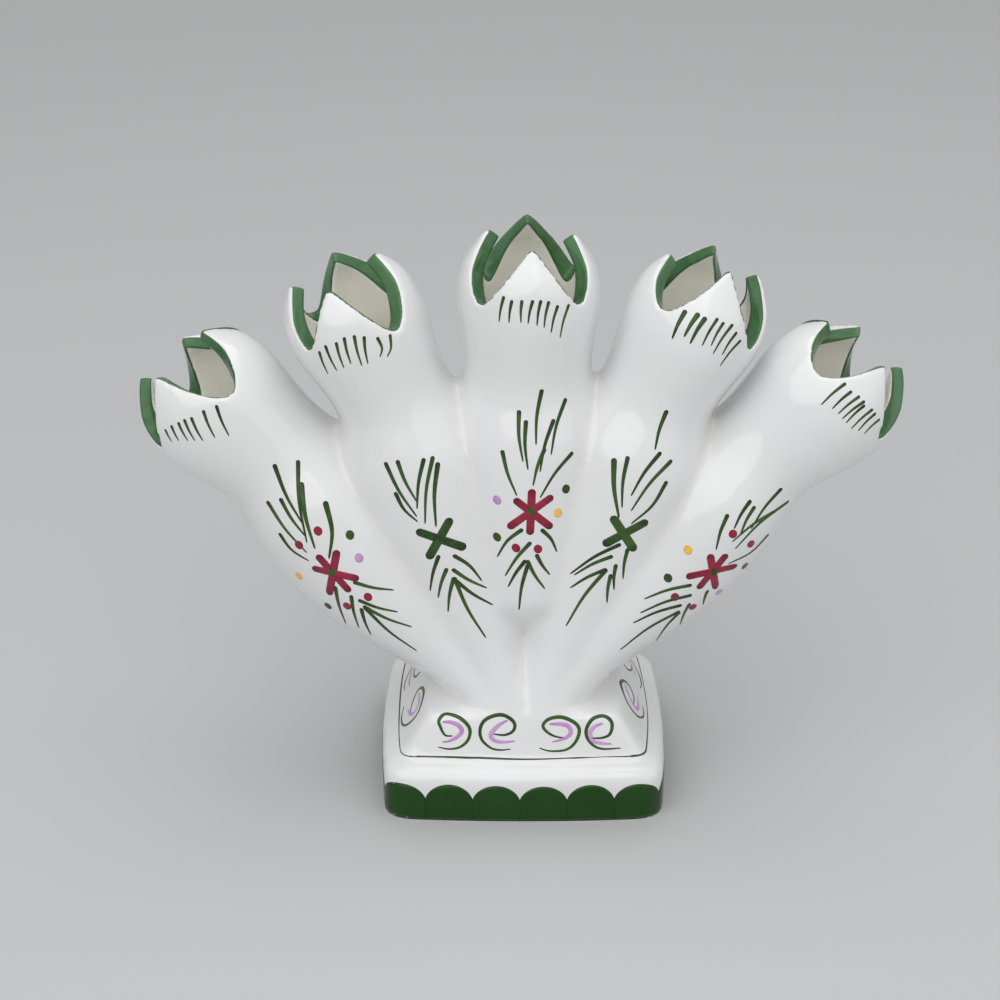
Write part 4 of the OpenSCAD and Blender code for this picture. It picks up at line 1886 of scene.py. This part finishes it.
@dataclass(frozen=True)
class Studio:
    """Pale floor and soft light."""

    floor_r: float = 6.0
    floor_sides: int = 96
    floor_colour: Colour = (0.52, 0.525, 0.53)
    floor_pale: float = 1.06
    floor_roughness: float = 0.6
    lamp_aim: tuple[float, float, float] = (0.0, 0.0, 0.08)
    world_strength: float = 0.5

    def floor(self) -> None:
        """Lay the floor."""
        bm = bmesh.new()
        bmesh.ops.create_circle(bm, cap_ends=True, radius=self.floor_r, segments=self.floor_sides)
        floor = to_object("floor", bm)
        sheet = NodeSheet("floor")
        tone = sheet.spread(sheet.noise(scale=3.0, detail=2.0), low=0.3, high=0.7, top=0.25)
        pale = tuple(part * self.floor_pale for part in self.floor_colour)
        sheet.link(sheet.blend(tone, self.floor_colour, pale), sheet.shader.inputs["Base Color"])
        sheet.fill(sheet.shader, {"Roughness": self.floor_roughness})
        floor.data.materials.append(sheet.material)

    def lamp(self, name: str, place: tuple[float, float, float], size: float, power: float) -> None:
        """Hang one soft round lamp that faces the vase.

        Args:
            name: Name of the lamp.
            place: Where it hangs.
            size: How wide it is.
            power: How strong it is, in watts.
        """
        data = bpy.data.lights.new(name, "AREA")
        data.shape = "DISK"
        data.size = size
        data.energy = power
        lamp = bpy.data.objects.new(name, data)
        lamp.location = place
        lamp.rotation_euler = (Vector(self.lamp_aim) - Vector(place)).to_track_quat("-Z", "Y").to_euler()
        bpy.context.scene.collection.objects.link(lamp)

    def build(self) -> None:
        """Set the floor, the lamps and the world."""
        self.floor()
        self.lamp("key_lamp", (-0.4, -0.8, 0.9), size=1.7, power=8.0)
        self.lamp("fill_lamp", (0.8, -0.6, 0.75), size=1.7, power=3.2)
        self.lamp("top_lamp", (0.1, 0.15, 1.2), size=1.0, power=3.5)
        world = bpy.data.worlds.new("studio")
        world.use_nodes = True
        background = next(node for node in world.node_tree.nodes if node.type == "BACKGROUND")
        background.inputs["Color"].default_value = (1.0, 1.0, 1.0, 1.0)
        background.inputs["Strength"].default_value = self.world_strength
        bpy.context.scene.world = world
        bpy.context.scene.view_settings.view_transform = "Standard"


def place_piece(piece: Object, node: str) -> None:
    """Stand a finished piece in for its node.

    Args:
        piece: The finished piece.
        node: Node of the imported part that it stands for.
    """
    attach(piece, BODY)
    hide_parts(node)
    LOG.info("%s: %d faces, stands for %s", piece.name, len(piece.data.polygons), node)


def place_paint(piece: Object, node: str, slot: str, finishes: Finishes) -> None:
    """Dress a painted piece in its enamel and stand it in for its node.

    Args:
        piece: The painted piece.
        node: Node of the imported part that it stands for.
        slot: Slot of the record, which names the enamel.
        finishes: Materials.
    """
    piece.data.materials.append(finishes.enamels[slot])
    for face in piece.data.polygons:
        face.use_smooth = True
    place_piece(piece, node)


def build_clay(fingers: Sequence[Finger], plinth: Plinth, finishes: Finishes) -> BVHTree:
    """Build the clay pieces.

    Args:
        fingers: The five fingers.
        plinth: The plinth.
        finishes: Materials.

    Returns:
        A search tree of the skin to paint on.
    """
    clay = ClayBody(fingers, plinth)
    for finger in fingers:
        piece = clay.part(f"glazed_finger_{finger.place.value}", finger.share(), finishes)
        place_piece(piece, f"finger_{finger.place.value}")
    place_piece(clay.part("glazed_plinth", clay.below(), finishes), "plinth")
    slab = plinth.slab()
    slab.data.materials.append(finishes.clay)
    place_piece(slab, "plinth_floor")
    discard(clay.skin)
    return clay.tree


def build_paint(painter: Painter, fingers: Sequence[Finger], plinth: Plinth, finishes: Finishes) -> None:
    """Paint the vase.

    Args:
        painter: Painter to lay the enamel with.
        fingers: The five fingers.
        plinth: The plinth.
        finishes: Materials.
    """
    for finger in fingers:
        place = finger.place
        name = place.value
        place_paint(RimBand().paint(painter, finger), f"rim_enamel_{name}", "rim_green", finishes)
        hatch = painter.strokes(f"painted_hatch_{name}", [[stroke] for stroke in HATCH[place]])
        place_paint(hatch, f"hatch_{name}", "leaf_green", finishes)
        groups = [[stroke] for stroke in (*SPRIGS[place], *HEARTS.get(place, ()))]
        sprig = painter.strokes(f"painted_sprig_{name}", groups)
        place_paint(sprig, f"sprig_{name}", "leaf_green", finishes)
        kind, slot = ("flower", "crimson") if place in HEARTS else ("cross", "leaf_green")
        middle = painter.strokes(f"painted_{kind}_{name}", [MIDDLES[place]])
        place_paint(middle, f"{kind}_{name}", slot, finishes)
    slots = {"red": "crimson", "green": "leaf_green", "violet": "violet", "yellow": "yellow"}
    for hue, slot in slots.items():
        groups = [[stroke] for stroke in DOTS[hue]]
        place_paint(painter.strokes(f"painted_dots_{hue}", groups), f"dots_{hue}", slot, finishes)
    place_paint(FootScallops().paint(painter, plinth), "foot_scallops", "foot_green", finishes)
    place_paint(ShoulderLine().paint(painter, plinth), "shoulder_line", "leaf_green", finishes)
    green = painter.four_sides("painted_scrolls_green", GREEN_SCROLLS)
    place_paint(green, "scrolls_green", "leaf_green", finishes)
    violet = painter.four_sides("painted_scrolls_violet", VIOLET_SCROLLS)
    place_paint(violet, "scrolls_violet", "violet", finishes)


def main() -> None:
    """Build the vase in order: the camera and light, the clay, then the paint."""
    logging.basicConfig(level=logging.INFO, format="%(name)s %(message)s")
    _, plinth_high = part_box("plinth")
    slab_low, slab_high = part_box("plinth_floor")
    plinth = Plinth(plinth_high.xy, plinth_high.z, slab_low.z, slab_high.z, slab_high.xy)
    form = FingerForm()
    fingers = [Finger(place, form, plinth.top) for place in Place]
    camera = StudioCamera()
    camera.build()
    Studio().build()
    finishes = Finishes()
    tree = build_clay(fingers, plinth, finishes)
    build_paint(Painter(tree, camera), fingers, plinth, finishes)


if __name__ == "__main__":
    main()
